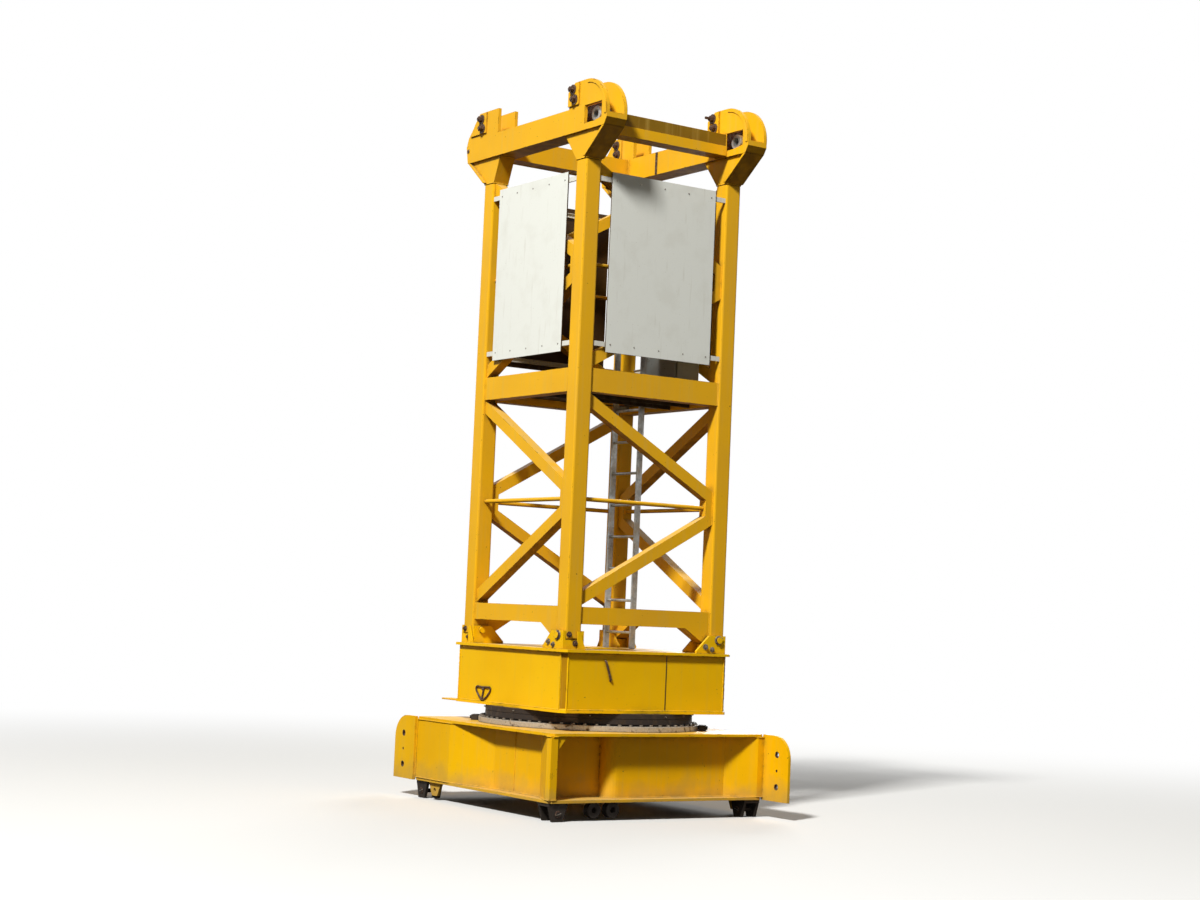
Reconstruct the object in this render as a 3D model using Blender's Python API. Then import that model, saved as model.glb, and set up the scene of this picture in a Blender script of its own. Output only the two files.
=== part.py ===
"""Standing tower section of a tower crane, on its slewing platform.

Metres, +Z up. The origin is on the ground, on the slewing axis.
Front is -Y, right is +X, back is +Y and left is -X. A corner is named
after the two sides that meet there. Most of the structure repeats four
times around the slewing axis, so each side is modelled once, as the front
one, and turned about Z.
"""
import math

import bmesh
import bpy
from mathutils import Matrix, Vector

# Clearances
SEAT = 0.0003
BEARING_CLEARANCE = 0.0003
RUNNING_CLEARANCE = 0.012
CUT_OVERRUN = 0.010

# Square tower of four tube legs
TOWER_WIDTH = 1.600
LEG_SIZE = 0.150
LEG_CORNER_RADIUS = 0.014

# Beams between the legs, and the clear bays below and above the middle beams
BEAM_DEPTH = 0.120
BOTTOM_BEAM_LIFT = 0.128
BOTTOM_BEAM_RISE = 0.140
HAUNCH_LENGTH = 0.250
HAUNCH_DROP = 0.118
HAUNCH_FOOT = 0.060
LOWER_BAY_RISE = 1.748
MIDDLE_BEAM_RISE = 0.194
UPPER_BAY_RISE = 1.716

# Side bracing of both bays, each a K whose point is on the right leg
K_END_MARGIN = 0.009
BRACE_DEPTH = 0.090
BRACE_RISE = 0.110
K_POINT_RISE = 0.140
K_GUSSET_LENGTH = 0.070
ROD_DIAMETER = 0.036

# Top girders
GIRDER_WIDTH = 0.200
GUSSET_RISE = 0.224
GUSSET_OUTREACH = 0.180
GUSSET_PLAIN_OUTREACH = 0.090
GIRDER_RISE = 0.205
GIRDER_OVERHANG = 0.300
CROSS_BEAM_WIDTH = 0.150
CROSS_BEAM_RISE = 0.185
CROSS_BEAM_DROP = 0.010

# Forked noses at the girder ends
CHEEK_THICKNESS = 0.030
NOSE_SLOT_LENGTH = 0.565
SLOPE_PLATE_THICKNESS = 0.030
SLOT_FLOOR_RISE = 0.075
EAR_RISE = 0.215
DOME_RADIUS = 0.300
DOME_CREST_LENGTH = 0.460
DOME_SHOULDER_DROP = 0.070
DOME_SHOULDER_INSET = 0.008
CHIN_INSET = 0.030
CHIN_LOW_RISE = 0.010
CHIN_HIGH_RISE = 0.060
PLAIN_EAR_INSET = 0.230
PLAIN_EAR_LENGTH = 0.290
PLAIN_CREST_INSET = 0.150
PLAIN_CREST_DROP = 0.070
PLAIN_BROW_RISE = 0.020
PLAIN_TIP_DROP = 0.060
WINDOW_LENGTH = 0.250
WINDOW_RISE = 0.150
WINDOW_END_MARGIN = 0.075
WINDOW_SILL = 0.024
BUSH_DIAMETER = 0.120
BUSH_BORE = 0.070
BUSH_LENGTH = 0.060
BUSH_INSET = 0.165
BUSH_LIFT = 0.078

# Turntable box that carries the tower
TURNTABLE_MARGIN = 0.030
TURNTABLE_RISE = 0.507
TURNTABLE_WALL = 0.020
TURNTABLE_PLATE = 0.022
TURNTABLE_TOP_OVERHANG = 0.030
TURNTABLE_FOOT_FLANGE = 0.012
TURNTABLE_CORNER_CUT = 0.045
MANHOLE_RADIUS = 0.340

# Leg shoes on the turntable
SHOE_SEAT_RISE = 0.077
SHOE_CHEEK = 0.025
SHOE_CHEEK_RISE = 0.073
SHOE_LENGTH = 0.300
SHOE_TOE_RISE = 0.018
SHOE_LAP = 0.020
SHOE_PIN_DIAMETER = 0.055
SHOE_PIN_RISE = 0.036
SHOE_PIN_OVERHANG = 0.022

# Slewing ring
RING_RISE = 0.147
RING_BEYOND_TURNTABLE = 0.050
RING_BREADTH = 0.180
RING_BOTTOM_FLANGE = 0.045
RING_FLANGE_OUTREACH = 0.055
RING_SPLIT_RISE = 0.070
RING_SEGMENTS = 64

# Base frame
BASE_MARGIN = 0.155
BASE_RISE = 0.543
BASE_FLANGE = 0.022
BASE_WEB = 0.018
BASE_CORNER_CUT = 0.030
CENTRE_HOLE_RADIUS = 0.560
WAIST_DEPTH = 0.120
WAIST_START = 0.590
WAIST_RAMP = 0.540
WAIST_RETURN = 0.262
WAIST_END_MARGIN = 0.087
POCKET_EDGE = 0.045
POCKET_SLANT = 0.110
POCKET_LENGTH = 0.640
POCKET_DEPTH = 0.260
POCKET_ROUNDING = 0.100
DRUM_WALL = 0.025
DRUM_INSET = 0.060

# Arm plates, which carry two opposite webs on past the base corners
ARM_PLATE_OUTREACH = 0.300
ARM_PLATE_LAP = 0.040
ARM_PLATE_THICKNESS = 0.025
ARM_PLATE_ROUNDING = 0.190
ARM_PIN_HOLE = 0.054
ARM_BOLT_HOLE = 0.024
ARM_HOLE_INSET = 0.150
ARM_HOLE_PITCH = 0.266
ARM_HOLE_DROP = 0.018

# Feet and lifting lugs under the base
FOOT_RISE = 0.146
FOOT_LENGTH = 0.180
FOOT_SOLE_LENGTH = 0.100
FOOT_CHEEK = 0.024
FOOT_GAP = 0.110
FOOT_HEAD = 0.026
FOOT_INSET = 0.100
FOOT_PIN_DIAMETER = 0.036
FOOT_PIN_HEIGHT = 0.060
FOOT_PIN_OVERHANG = 0.012
LUG_LENGTH = 0.200
LUG_TIP_LENGTH = 0.088
LUG_RISE = 0.110
LUG_THICKNESS = 0.024
LUG_HOLE = 0.040
LUG_HOLE_DROP = 0.064
LUG_OFFSET = 0.340
LUG_SET_BACK = 0.025

# Deck, ladder and equipment inside the tower
DECK_THICKNESS = 0.008
DECK_LIFT = 0.064
HATCH_LENGTH = 0.560
HATCH_WIDTH = 0.520
HATCH_BEHIND_LADDER = 0.080
LADDER_WIDTH = 0.420
LADDER_RAIL_DEPTH = 0.050
LADDER_RAIL_WIDTH = 0.022
LADDER_RUNG_DIAMETER = 0.024
LADDER_RUNG_PITCH = 0.280
LADDER_TOP_DROP = 0.196
LADDER_SIDE_GAP = 0.130
LADDER_BACK_GAP = 0.130

# Sign panels on their rails
PANEL_WIDTH = 1.070
PANEL_RISE = 1.492
PANEL_LIFT = 0.140
PANEL_THICKNESS = 0.012
RAIL_RISE = 0.040
RAIL_INSET = 0.045

# Control cabinet on the deck
CABINET_WIDTH = 0.450
CABINET_DEPTH = 0.250
CABINET_RISE = 0.620
CABINET_SIDE_GAP = 0.040
CABINET_BACK_GAP = 0.105

SIDES = ("front", "right", "back", "left")
POCKET_SIDES = ("right", "left")
CORNERS = ("front_right", "back_right", "back_left", "front_left")
QUARTER_TURN = math.pi / 2.0
CREASE_ANGLE = math.radians(35.0)

# Heights, stacked up from the ground
BASE_BOTTOM_HEIGHT = FOOT_RISE
BASE_TOP_HEIGHT = BASE_BOTTOM_HEIGHT + BASE_RISE
TURNTABLE_BOTTOM_HEIGHT = BASE_TOP_HEIGHT + RING_RISE
TURNTABLE_TOP_HEIGHT = TURNTABLE_BOTTOM_HEIGHT + TURNTABLE_RISE
LEG_FOOT_HEIGHT = TURNTABLE_TOP_HEIGHT + SHOE_SEAT_RISE
BOTTOM_BEAM_HEIGHT = LEG_FOOT_HEIGHT + BOTTOM_BEAM_LIFT
LOWER_BAY_HEIGHT = BOTTOM_BEAM_HEIGHT + BOTTOM_BEAM_RISE
MIDDLE_BEAM_HEIGHT = LOWER_BAY_HEIGHT + LOWER_BAY_RISE
UPPER_BAY_HEIGHT = MIDDLE_BEAM_HEIGHT + MIDDLE_BEAM_RISE
DECK_HEIGHT = MIDDLE_BEAM_HEIGHT + DECK_LIFT
PANEL_BOTTOM_HEIGHT = UPPER_BAY_HEIGHT + PANEL_LIFT
PANEL_TOP_HEIGHT = PANEL_BOTTOM_HEIGHT + PANEL_RISE
LEG_TOP_HEIGHT = UPPER_BAY_HEIGHT + UPPER_BAY_RISE
LADDER_TOP_HEIGHT = LEG_TOP_HEIGHT - LADDER_TOP_DROP
GIRDER_BOTTOM_HEIGHT = LEG_TOP_HEIGHT + GUSSET_RISE
GIRDER_TOP_HEIGHT = GIRDER_BOTTOM_HEIGHT + GIRDER_RISE
EAR_TOP_HEIGHT = GIRDER_TOP_HEIGHT + EAR_RISE
RING_SPLIT_HEIGHT = BASE_TOP_HEIGHT + RING_SPLIT_RISE

# Distances from the slewing axis, from the tower outwards
TOWER_HALF = TOWER_WIDTH / 2.0
LEG_INNER = TOWER_HALF - LEG_SIZE
LEG_LINE = TOWER_HALF - LEG_SIZE / 2.0
BEAM_INNER = LEG_LINE - BEAM_DEPTH / 2.0
BRACE_OUTER = LEG_LINE + BRACE_DEPTH / 2.0
GIRDER_END = TOWER_HALF + GIRDER_OVERHANG
TURNTABLE_HALF = TOWER_HALF + TURNTABLE_MARGIN
RING_OUTER_RADIUS = TURNTABLE_HALF + RING_BEYOND_TURNTABLE
RING_INNER_RADIUS = RING_OUTER_RADIUS - RING_BREADTH
RING_FLANGE_RADIUS = RING_OUTER_RADIUS + RING_FLANGE_OUTREACH
DRUM_RADIUS = RING_OUTER_RADIUS - DRUM_INSET
BASE_HALF = RING_FLANGE_RADIUS + BASE_MARGIN
FLANGE_HALF = BASE_HALF - ARM_PLATE_THICKNESS - SEAT

# Ladder and cabinet, set out from the inner faces of the beams
LADDER_LEFT = -BEAM_INNER + LADDER_SIDE_GAP
LADDER_RIGHT = LADDER_LEFT + LADDER_WIDTH
LADDER_FRONT = BEAM_INNER - LADDER_BACK_GAP - LADDER_RAIL_DEPTH
CABINET_RIGHT = BEAM_INNER - CABINET_SIDE_GAP
CABINET_BACK = BEAM_INNER - CABINET_BACK_GAP


def clear_scene():
    """Remove every object that a new file starts with."""
    for item in list(bpy.data.objects):
        bpy.data.objects.remove(item, do_unlink=True)


def paint(name, colour, roughness, metallic):
    """A Principled material with one colour."""
    material = bpy.data.materials.new(name)
    material.use_nodes = True
    shader = material.node_tree.nodes["Principled BSDF"]
    shader.inputs["Base Color"].default_value = (*colour, 1.0)
    shader.inputs["Roughness"].default_value = roughness
    shader.inputs["Metallic"].default_value = metallic
    return material


def box(low, high):
    """A bmesh box between two corners."""
    mesh = bmesh.new()
    size = Vector(high) - Vector(low)
    middle = (Vector(high) + Vector(low)) / 2.0
    scaling = Matrix.Diagonal((*size, 1.0))
    bmesh.ops.create_cube(mesh, size=1.0, matrix=Matrix.Translation(middle) @ scaling)
    return mesh


def circle(radius, segments, centre=(0.0, 0.0), start=0.0):
    """Points of a circle, in two dimensions."""
    step = 2.0 * math.pi / segments
    return [
        (centre[0] + radius * math.cos(start + step * i), centre[1] + radius * math.sin(start + step * i))
        for i in range(segments)
    ]


def arc(centre, radius, start, end, steps):
    """Points of an arc from one angle to another, in degrees."""
    angles = [math.radians(start + (end - start) * i / steps) for i in range(steps + 1)]
    return [(centre[0] + radius * math.cos(a), centre[1] + radius * math.sin(a)) for a in angles]


def square_outline(half, cut=0.0):
    """A square outline with its corners cut at 45 degrees."""
    if cut == 0.0:
        return [(-half, -half), (half, -half), (half, half), (-half, half)]
    inner = half - cut
    return [
        (-inner, -half), (inner, -half), (half, -inner), (half, inner),
        (inner, half), (-inner, half), (-half, inner), (-half, -inner),
    ]


def slab(outline, thickness, holes=()):
    """A flat plate from an outline in XY, with holes, rising from Z = 0."""
    mesh = bmesh.new()
    for loop in (outline, *holes):
        corners = [mesh.verts.new((x, y, 0.0)) for x, y in loop]
        for here, there in zip(corners, corners[1:] + corners[:1]):
            mesh.edges.new((here, there))
    bmesh.ops.triangle_fill(mesh, use_beauty=True, use_dissolve=False, edges=mesh.edges[:])
    raised = bmesh.ops.extrude_face_region(mesh, geom=mesh.faces[:])
    moved = [item for item in raised["geom"] if isinstance(item, bmesh.types.BMVert)]
    bmesh.ops.translate(mesh, verts=moved, vec=(0.0, 0.0, thickness))
    bmesh.ops.recalc_face_normals(mesh, faces=mesh.faces[:])
    return mesh


def stand_up(mesh, front_y):
    """Turn a slab so that its outline lies in XZ and its front face is at front_y."""
    bmesh.ops.rotate(mesh, verts=mesh.verts[:], cent=(0, 0, 0), matrix=Matrix.Rotation(QUARTER_TURN, 3, "X"))
    depth = max(vertex.co.y for vertex in mesh.verts) - min(vertex.co.y for vertex in mesh.verts)
    bmesh.ops.translate(mesh, verts=mesh.verts[:], vec=(0.0, front_y + depth, 0.0))
    return mesh


def rod(diameter, start, end, segments=12):
    """A round bar between two points."""
    mesh = bmesh.new()
    way = Vector(end) - Vector(start)
    turn = way.to_track_quat("Z", "Y").to_matrix().to_4x4()
    place = Matrix.Translation((Vector(start) + Vector(end)) / 2.0) @ turn
    radius = diameter / 2.0
    bmesh.ops.create_cone(
        mesh, cap_ends=True, segments=segments, radius1=radius, radius2=radius,
        depth=way.length, matrix=place,
    )
    return mesh


def new_object(name, mesh, material, parent, quarter=0, smooth=False):
    """An object from a bmesh, turned by quarter turns about the slewing axis."""
    data = bpy.data.meshes.new(name)
    mesh.to_mesh(data)
    mesh.free()
    data.materials.append(material)
    if smooth:
        data.shade_smooth()
        data.set_sharp_from_angle(angle=CREASE_ANGLE)
    item = bpy.data.objects.new(name, data)
    item.rotation_euler.z = quarter * QUARTER_TURN
    item.parent = parent
    bpy.context.scene.collection.objects.link(item)
    return item


def cutter(name, mesh, like):
    """A hidden object in the same place as another, for a Boolean."""
    data = bpy.data.meshes.new(name)
    mesh.to_mesh(data)
    mesh.free()
    item = bpy.data.objects.new(name, data)
    item.rotation_euler = like.rotation_euler
    item.parent = like.parent
    item.hide_render = True
    item.display_type = "WIRE"
    bpy.context.scene.collection.objects.link(item)
    return item


def combine(item, mesh, operation, name):
    """Add a Boolean of one more bmesh to an object."""
    modifier = item.modifiers.new(name, "BOOLEAN")
    modifier.operation = operation
    modifier.solver = "EXACT"
    modifier.object = cutter(item.name + "_" + name, mesh, item)


def round_edges(item, radius, segments):
    """Round the long edges of a tube."""
    modifier = item.modifiers.new("edge_radius", "BEVEL")
    modifier.width = radius
    modifier.segments = segments
    modifier.limit_method = "ANGLE"
    modifier.angle_limit = math.radians(60.0)


def make_base(materials, parent):
    """The fabricated base box with its flanges, waisted webs, drum and feet."""
    yellow = materials["yellow"]
    hole = circle(CENTRE_HOLE_RADIUS, RING_SEGMENTS)
    outline = square_outline(FLANGE_HALF, BASE_CORNER_CUT)
    for name, height in (
        ("base_bottom_flange", BASE_BOTTOM_HEIGHT),
        ("base_top_flange", BASE_TOP_HEIGHT - BASE_FLANGE),
    ):
        plate = slab(outline, BASE_FLANGE, [hole])
        bmesh.ops.translate(plate, verts=plate.verts[:], vec=(0.0, 0.0, height))
        new_object(name, plate, yellow, parent)

    web_bottom = BASE_BOTTOM_HEIGHT + BASE_FLANGE + SEAT
    web_rise = BASE_TOP_HEIGHT - BASE_FLANGE - SEAT - web_bottom
    drum = slab(
        circle(DRUM_RADIUS, RING_SEGMENTS), web_rise, [circle(DRUM_RADIUS - DRUM_WALL, RING_SEGMENTS)],
    )
    bmesh.ops.translate(drum, verts=drum.verts[:], vec=(0.0, 0.0, web_bottom))
    new_object("base_drum", drum, yellow, parent, smooth=True)

    for quarter, side in enumerate(SIDES):
        make_base_side(side, quarter, web_bottom, web_rise, yellow, parent)
        make_foot(CORNERS[quarter], quarter, materials["dark_steel"], parent)
    for quarter in (0, 2):
        make_arm_plate(CORNERS[quarter - 1], quarter, yellow, parent)
        make_lug(SIDES[quarter], quarter, yellow, parent)


def waist_end():
    """The far end of every web, from its set-back middle out to the flange, as (x, set back)."""
    ramp_end = BASE_HALF - WAIST_END_MARGIN
    return [(ramp_end - WAIST_RETURN, WAIST_DEPTH), (ramp_end, 0.0), (FLANGE_HALF, 0.0)]


def plain_web(left):
    """Front and behind lines of a web that ramps in from the flange, as (x, set back)."""
    ramp_start = -BASE_HALF + WAIST_START
    front = [(left, 0.0), (ramp_start, 0.0), (ramp_start + WAIST_RAMP, WAIST_DEPTH), *waist_end()]
    return front, [(x, set_back + BASE_WEB) for x, set_back in front]


def pocket_web(left):
    """Front and behind lines of a web with a deep pocket next to its left corner."""
    near = left + POCKET_EDGE
    far = -FLANGE_HALF + POCKET_LENGTH
    centre = (far + POCKET_ROUNDING, WAIST_DEPTH + POCKET_ROUNDING)
    front = [
        (left, 0.0), (near, 0.0), (near + POCKET_SLANT, POCKET_DEPTH), (far, POCKET_DEPTH),
        *arc(centre, POCKET_ROUNDING, 180, 270, 6), *waist_end(),
    ]
    behind = [
        (left, BASE_WEB), (near - BASE_WEB, BASE_WEB),
        (near + POCKET_SLANT - BASE_WEB, POCKET_DEPTH + BASE_WEB), (far + BASE_WEB, POCKET_DEPTH + BASE_WEB),
        *arc(centre, POCKET_ROUNDING - BASE_WEB, 180, 270, 6),
        *[(x, set_back + BASE_WEB) for x, set_back in waist_end()],
    ]
    return front, behind


def make_base_side(side, quarter, bottom, rise, material, parent):
    """One web. Front and back are waisted, right and left have a pocket next to their left corner."""
    left = -FLANGE_HALF + BASE_WEB + SEAT
    front, behind = pocket_web(left) if side in POCKET_SIDES else plain_web(left)
    outline = [(x, -FLANGE_HALF + set_back) for x, set_back in front + behind[::-1]]
    web = slab(outline, rise)
    bmesh.ops.translate(web, verts=web.verts[:], vec=(0.0, 0.0, bottom))
    new_object("base_side_" + side, web, material, parent, quarter)


def make_arm_plate(corner, quarter, material, parent):
    """The drilled plate past a base corner, where a cross arm is pinned on."""
    rise = BASE_TOP_HEIGHT - BASE_BOTTOM_HEIGHT
    left = -BASE_HALF - ARM_PLATE_OUTREACH
    right = -BASE_HALF + ARM_PLATE_LAP
    rounding = arc((left + ARM_PLATE_ROUNDING, rise - ARM_PLATE_ROUNDING), ARM_PLATE_ROUNDING, 90, 180, 8)
    outline = [(left, 0.0), (right, 0.0), (right, rise), *rounding]
    middle = rise / 2.0 - ARM_HOLE_DROP
    hole_x = left + ARM_HOLE_INSET
    holes = [
        circle(ARM_PIN_HOLE / 2.0, 16, (hole_x, middle + ARM_HOLE_PITCH / 2.0)),
        circle(ARM_BOLT_HOLE / 2.0, 12, (hole_x, middle)),
        circle(ARM_PIN_HOLE / 2.0, 16, (hole_x, middle - ARM_HOLE_PITCH / 2.0)),
    ]
    plate = stand_up(slab(outline, ARM_PLATE_THICKNESS, holes), -BASE_HALF)
    bmesh.ops.translate(plate, verts=plate.verts[:], vec=(0.0, 0.0, BASE_BOTTOM_HEIGHT))
    new_object("arm_plate_" + corner, plate, material, parent, quarter)


def make_foot(corner, quarter, material, parent):
    """A forked foot of two cheeks under a head plate, with its cross pin."""
    centre = FLANGE_HALF - FOOT_INSET
    top = BASE_BOTTOM_HEIGHT - SEAT
    half_length = FOOT_LENGTH / 2.0
    half_width = FOOT_GAP / 2.0 + FOOT_CHEEK
    low = (centre - half_width, -centre - half_length, top - FOOT_HEAD)
    high = (centre + half_width, -centre + half_length, top)
    foot = new_object("foot_" + corner, box(low, high), material, parent, quarter)
    for number, x in enumerate((centre - half_width, centre + half_width - FOOT_CHEEK)):
        half_sole = FOOT_SOLE_LENGTH / 2.0
        outline = [
            (-centre - half_sole, 0.0), (-centre + half_sole, 0.0),
            (-centre + half_length, top - FOOT_HEAD / 2.0), (-centre - half_length, top - FOOT_HEAD / 2.0),
        ]
        cheek = slab(outline, FOOT_CHEEK)
        turn = Matrix(((0, 0, 1), (1, 0, 0), (0, 1, 0)))
        bmesh.ops.transform(cheek, verts=cheek.verts[:], matrix=turn.to_4x4())
        bmesh.ops.translate(cheek, verts=cheek.verts[:], vec=(x, 0.0, 0.0))
        combine(foot, cheek, "UNION", "cheek_%d" % number)
    pin = rod(
        FOOT_PIN_DIAMETER,
        (centre - half_width - FOOT_PIN_OVERHANG, -centre, FOOT_PIN_HEIGHT),
        (centre + half_width + FOOT_PIN_OVERHANG, -centre, FOOT_PIN_HEIGHT),
    )
    combine(foot, pin, "UNION", "pin")


def make_lug(side, quarter, material, parent):
    """A drilled triangular lug under the bottom flange."""
    top = BASE_BOTTOM_HEIGHT - SEAT
    left = -BASE_HALF + LUG_OFFSET - LUG_LENGTH / 2.0
    tip = LUG_TIP_LENGTH / 2.0
    middle = left + LUG_LENGTH / 2.0
    outline = [
        (left, top), (middle - tip, top - LUG_RISE),
        (middle + tip, top - LUG_RISE), (left + LUG_LENGTH, top),
    ]
    hole = circle(LUG_HOLE / 2.0, 12, (middle, top - LUG_HOLE_DROP))
    lug = stand_up(slab(outline, LUG_THICKNESS, [hole]), -FLANGE_HALF + LUG_SET_BACK)
    new_object("base_lug_" + side, lug, material, parent, quarter)


def ring_profile(points, name, material, parent):
    """A turned ring from a closed outline of radius and height."""
    mesh = bmesh.new()
    corners = [mesh.verts.new((radius, 0.0, height)) for radius, height in points]
    edges = [mesh.edges.new(pair) for pair in zip(corners, corners[1:] + corners[:1])]
    bmesh.ops.spin(
        mesh, geom=corners + edges, cent=(0, 0, 0), axis=(0, 0, 1), angle=2.0 * math.pi,
        steps=RING_SEGMENTS, use_merge=True, use_normal_flip=False,
    )
    bmesh.ops.remove_doubles(mesh, verts=mesh.verts[:], dist=0.00005)
    bmesh.ops.recalc_face_normals(mesh, faces=mesh.faces[:])
    return new_object(name, mesh, material, parent, smooth=True)


def make_slewing_ring(materials, base, tower):
    """The bearing: a flanged lower ring on the base, an upper ring under the turntable."""
    bottom = BASE_TOP_HEIGHT + SEAT
    flange_top = bottom + RING_BOTTOM_FLANGE
    track_radius = RING_OUTER_RADIUS - RING_FLANGE_OUTREACH
    ring_profile(
        [
            (RING_INNER_RADIUS, bottom), (RING_FLANGE_RADIUS, bottom), (RING_FLANGE_RADIUS, flange_top),
            (track_radius, flange_top), (track_radius, RING_SPLIT_HEIGHT),
            (RING_INNER_RADIUS, RING_SPLIT_HEIGHT),
        ],
        "slewing_ring_fixed", materials["steel"], base,
    )
    lip = flange_top + RUNNING_CLEARANCE
    lip_radius = track_radius + RUNNING_CLEARANCE
    seat = RING_SPLIT_HEIGHT + BEARING_CLEARANCE
    top = TURNTABLE_BOTTOM_HEIGHT - SEAT
    ring_profile(
        [
            (RING_INNER_RADIUS, seat), (lip_radius, seat), (lip_radius, lip),
            (RING_OUTER_RADIUS, lip), (RING_OUTER_RADIUS, top), (RING_INNER_RADIUS, top),
        ],
        "slewing_ring_turning", materials["dark_steel"], tower,
    )


def make_turntable(materials, parent):
    """The yellow box on the slewing ring, with a foot flange and an overhanging top."""
    yellow = materials["yellow"]
    manhole = circle(MANHOLE_RADIUS, 32)
    bottom = slab(
        square_outline(TURNTABLE_HALF + TURNTABLE_FOOT_FLANGE, TURNTABLE_CORNER_CUT), TURNTABLE_PLATE,
        [circle(CENTRE_HOLE_RADIUS, RING_SEGMENTS)],
    )
    bmesh.ops.translate(bottom, verts=bottom.verts[:], vec=(0, 0, TURNTABLE_BOTTOM_HEIGHT))
    new_object("turntable_bottom_plate", bottom, yellow, parent)

    wall_bottom = TURNTABLE_BOTTOM_HEIGHT + TURNTABLE_PLATE + SEAT
    wall_rise = TURNTABLE_TOP_HEIGHT - TURNTABLE_PLATE - SEAT - wall_bottom
    inner_cut = TURNTABLE_CORNER_CUT - TURNTABLE_WALL * (2.0 - math.sqrt(2.0))
    walls = slab(
        square_outline(TURNTABLE_HALF, TURNTABLE_CORNER_CUT), wall_rise,
        [square_outline(TURNTABLE_HALF - TURNTABLE_WALL, inner_cut)],
    )
    bmesh.ops.translate(walls, verts=walls.verts[:], vec=(0, 0, wall_bottom))
    new_object("turntable_walls", walls, yellow, parent)

    top = slab(
        square_outline(TURNTABLE_HALF + TURNTABLE_TOP_OVERHANG, TURNTABLE_CORNER_CUT), TURNTABLE_PLATE,
        [manhole],
    )
    bmesh.ops.translate(top, verts=top.verts[:], vec=(0, 0, TURNTABLE_TOP_HEIGHT - TURNTABLE_PLATE))
    new_object("turntable_top_plate", top, yellow, parent)


def make_shoe(corner, quarter, materials, parent):
    """A clevis of two cheeks on the turntable, with the pin that holds the leg."""
    bottom = TURNTABLE_TOP_HEIGHT + SEAT
    inner = LEG_INNER - SEAT - SHOE_CHEEK
    outer = TOWER_HALF + SEAT
    left = TOWER_HALF - SHOE_LENGTH
    high_left = LEG_INNER - SHOE_LAP
    base_top = LEG_FOOT_HEIGHT - SEAT
    cheek_top = base_top + SHOE_CHEEK_RISE
    low_corner = (high_left, -outer - SHOE_CHEEK, bottom)
    high_corner = (TOWER_HALF, -inner, base_top)
    seat = box(low_corner, high_corner)
    shoe = new_object("leg_shoe_" + corner, seat, materials["yellow"], parent, quarter)
    outline = [
        (left, bottom), (TOWER_HALF, bottom), (TOWER_HALF, cheek_top),
        (high_left, cheek_top), (left, bottom + SHOE_TOE_RISE),
    ]
    for number, front in enumerate((-outer - SHOE_CHEEK, -inner - SHOE_CHEEK)):
        combine(shoe, stand_up(slab(outline, SHOE_CHEEK), front), "UNION", "cheek_%d" % number)
    pin_height = base_top + SHOE_PIN_RISE
    for number, (cheek_face, sense) in enumerate(((-outer - SHOE_CHEEK, -1.0), (-inner, 1.0))):
        start = (LEG_LINE, cheek_face - sense * SHOE_CHEEK / 2.0, pin_height)
        end = (LEG_LINE, cheek_face + sense * SHOE_PIN_OVERHANG, pin_height)
        combine(shoe, rod(SHOE_PIN_DIAMETER, start, end), "UNION", "pin_end_%d" % number)


def make_legs(materials, parent):
    """Four square tubes from their shoes to the top girders."""
    middle = LEG_LINE
    half = LEG_SIZE / 2.0
    for quarter, corner in enumerate(CORNERS):
        low = (middle - half, -middle - half, LEG_FOOT_HEIGHT)
        high = (middle + half, -middle + half, LEG_TOP_HEIGHT)
        leg = new_object("leg_" + corner, box(low, high), materials["yellow"], parent, quarter)
        leg.data.shade_smooth()
        leg.data.set_sharp_from_angle(angle=CREASE_ANGLE)
        round_edges(leg, LEG_CORNER_RADIUS, 2)


def make_side_beams(materials, parent):
    """Bottom beams with their haunch, middle beams and the K bracing of the four sides."""
    yellow = materials["yellow"]
    left = -LEG_INNER + SEAT
    right = LEG_INNER - SEAT
    beam_front = -BEAM_INNER - BEAM_DEPTH
    bottom = BOTTOM_BEAM_HEIGHT
    outline = [
        (left, bottom), (right - HAUNCH_LENGTH, bottom), (right - HAUNCH_FOOT, bottom - HAUNCH_DROP),
        (right, bottom - HAUNCH_DROP), (right, bottom + BOTTOM_BEAM_RISE), (left, bottom + BOTTOM_BEAM_RISE),
    ]
    bays = (
        ("lower_brace_", LOWER_BAY_HEIGHT, LOWER_BAY_RISE),
        ("upper_brace_", UPPER_BAY_HEIGHT, UPPER_BAY_RISE),
    )
    for quarter, side in enumerate(SIDES):
        beam = stand_up(slab(outline, BEAM_DEPTH), beam_front)
        new_object("bottom_beam_" + side, beam, yellow, parent, quarter)
        low = (left, beam_front, MIDDLE_BEAM_HEIGHT)
        high = (right, beam_front + BEAM_DEPTH, MIDDLE_BEAM_HEIGHT + MIDDLE_BEAM_RISE)
        new_object("middle_beam_" + side, box(low, high), yellow, parent, quarter)
        for place, bay_bottom, bay_rise in bays:
            brace = k_brace(left, right, bay_bottom, bay_rise)
            item = new_object(place + side, brace, yellow, parent, quarter)
            middle = bay_bottom + bay_rise / 2.0
            tie_end = right - K_GUSSET_LENGTH / 2.0
            tie = rod(ROD_DIAMETER, (left, -LEG_LINE, middle), (tie_end, -LEG_LINE, middle))
            combine(item, tie, "UNION", "tie")


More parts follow.
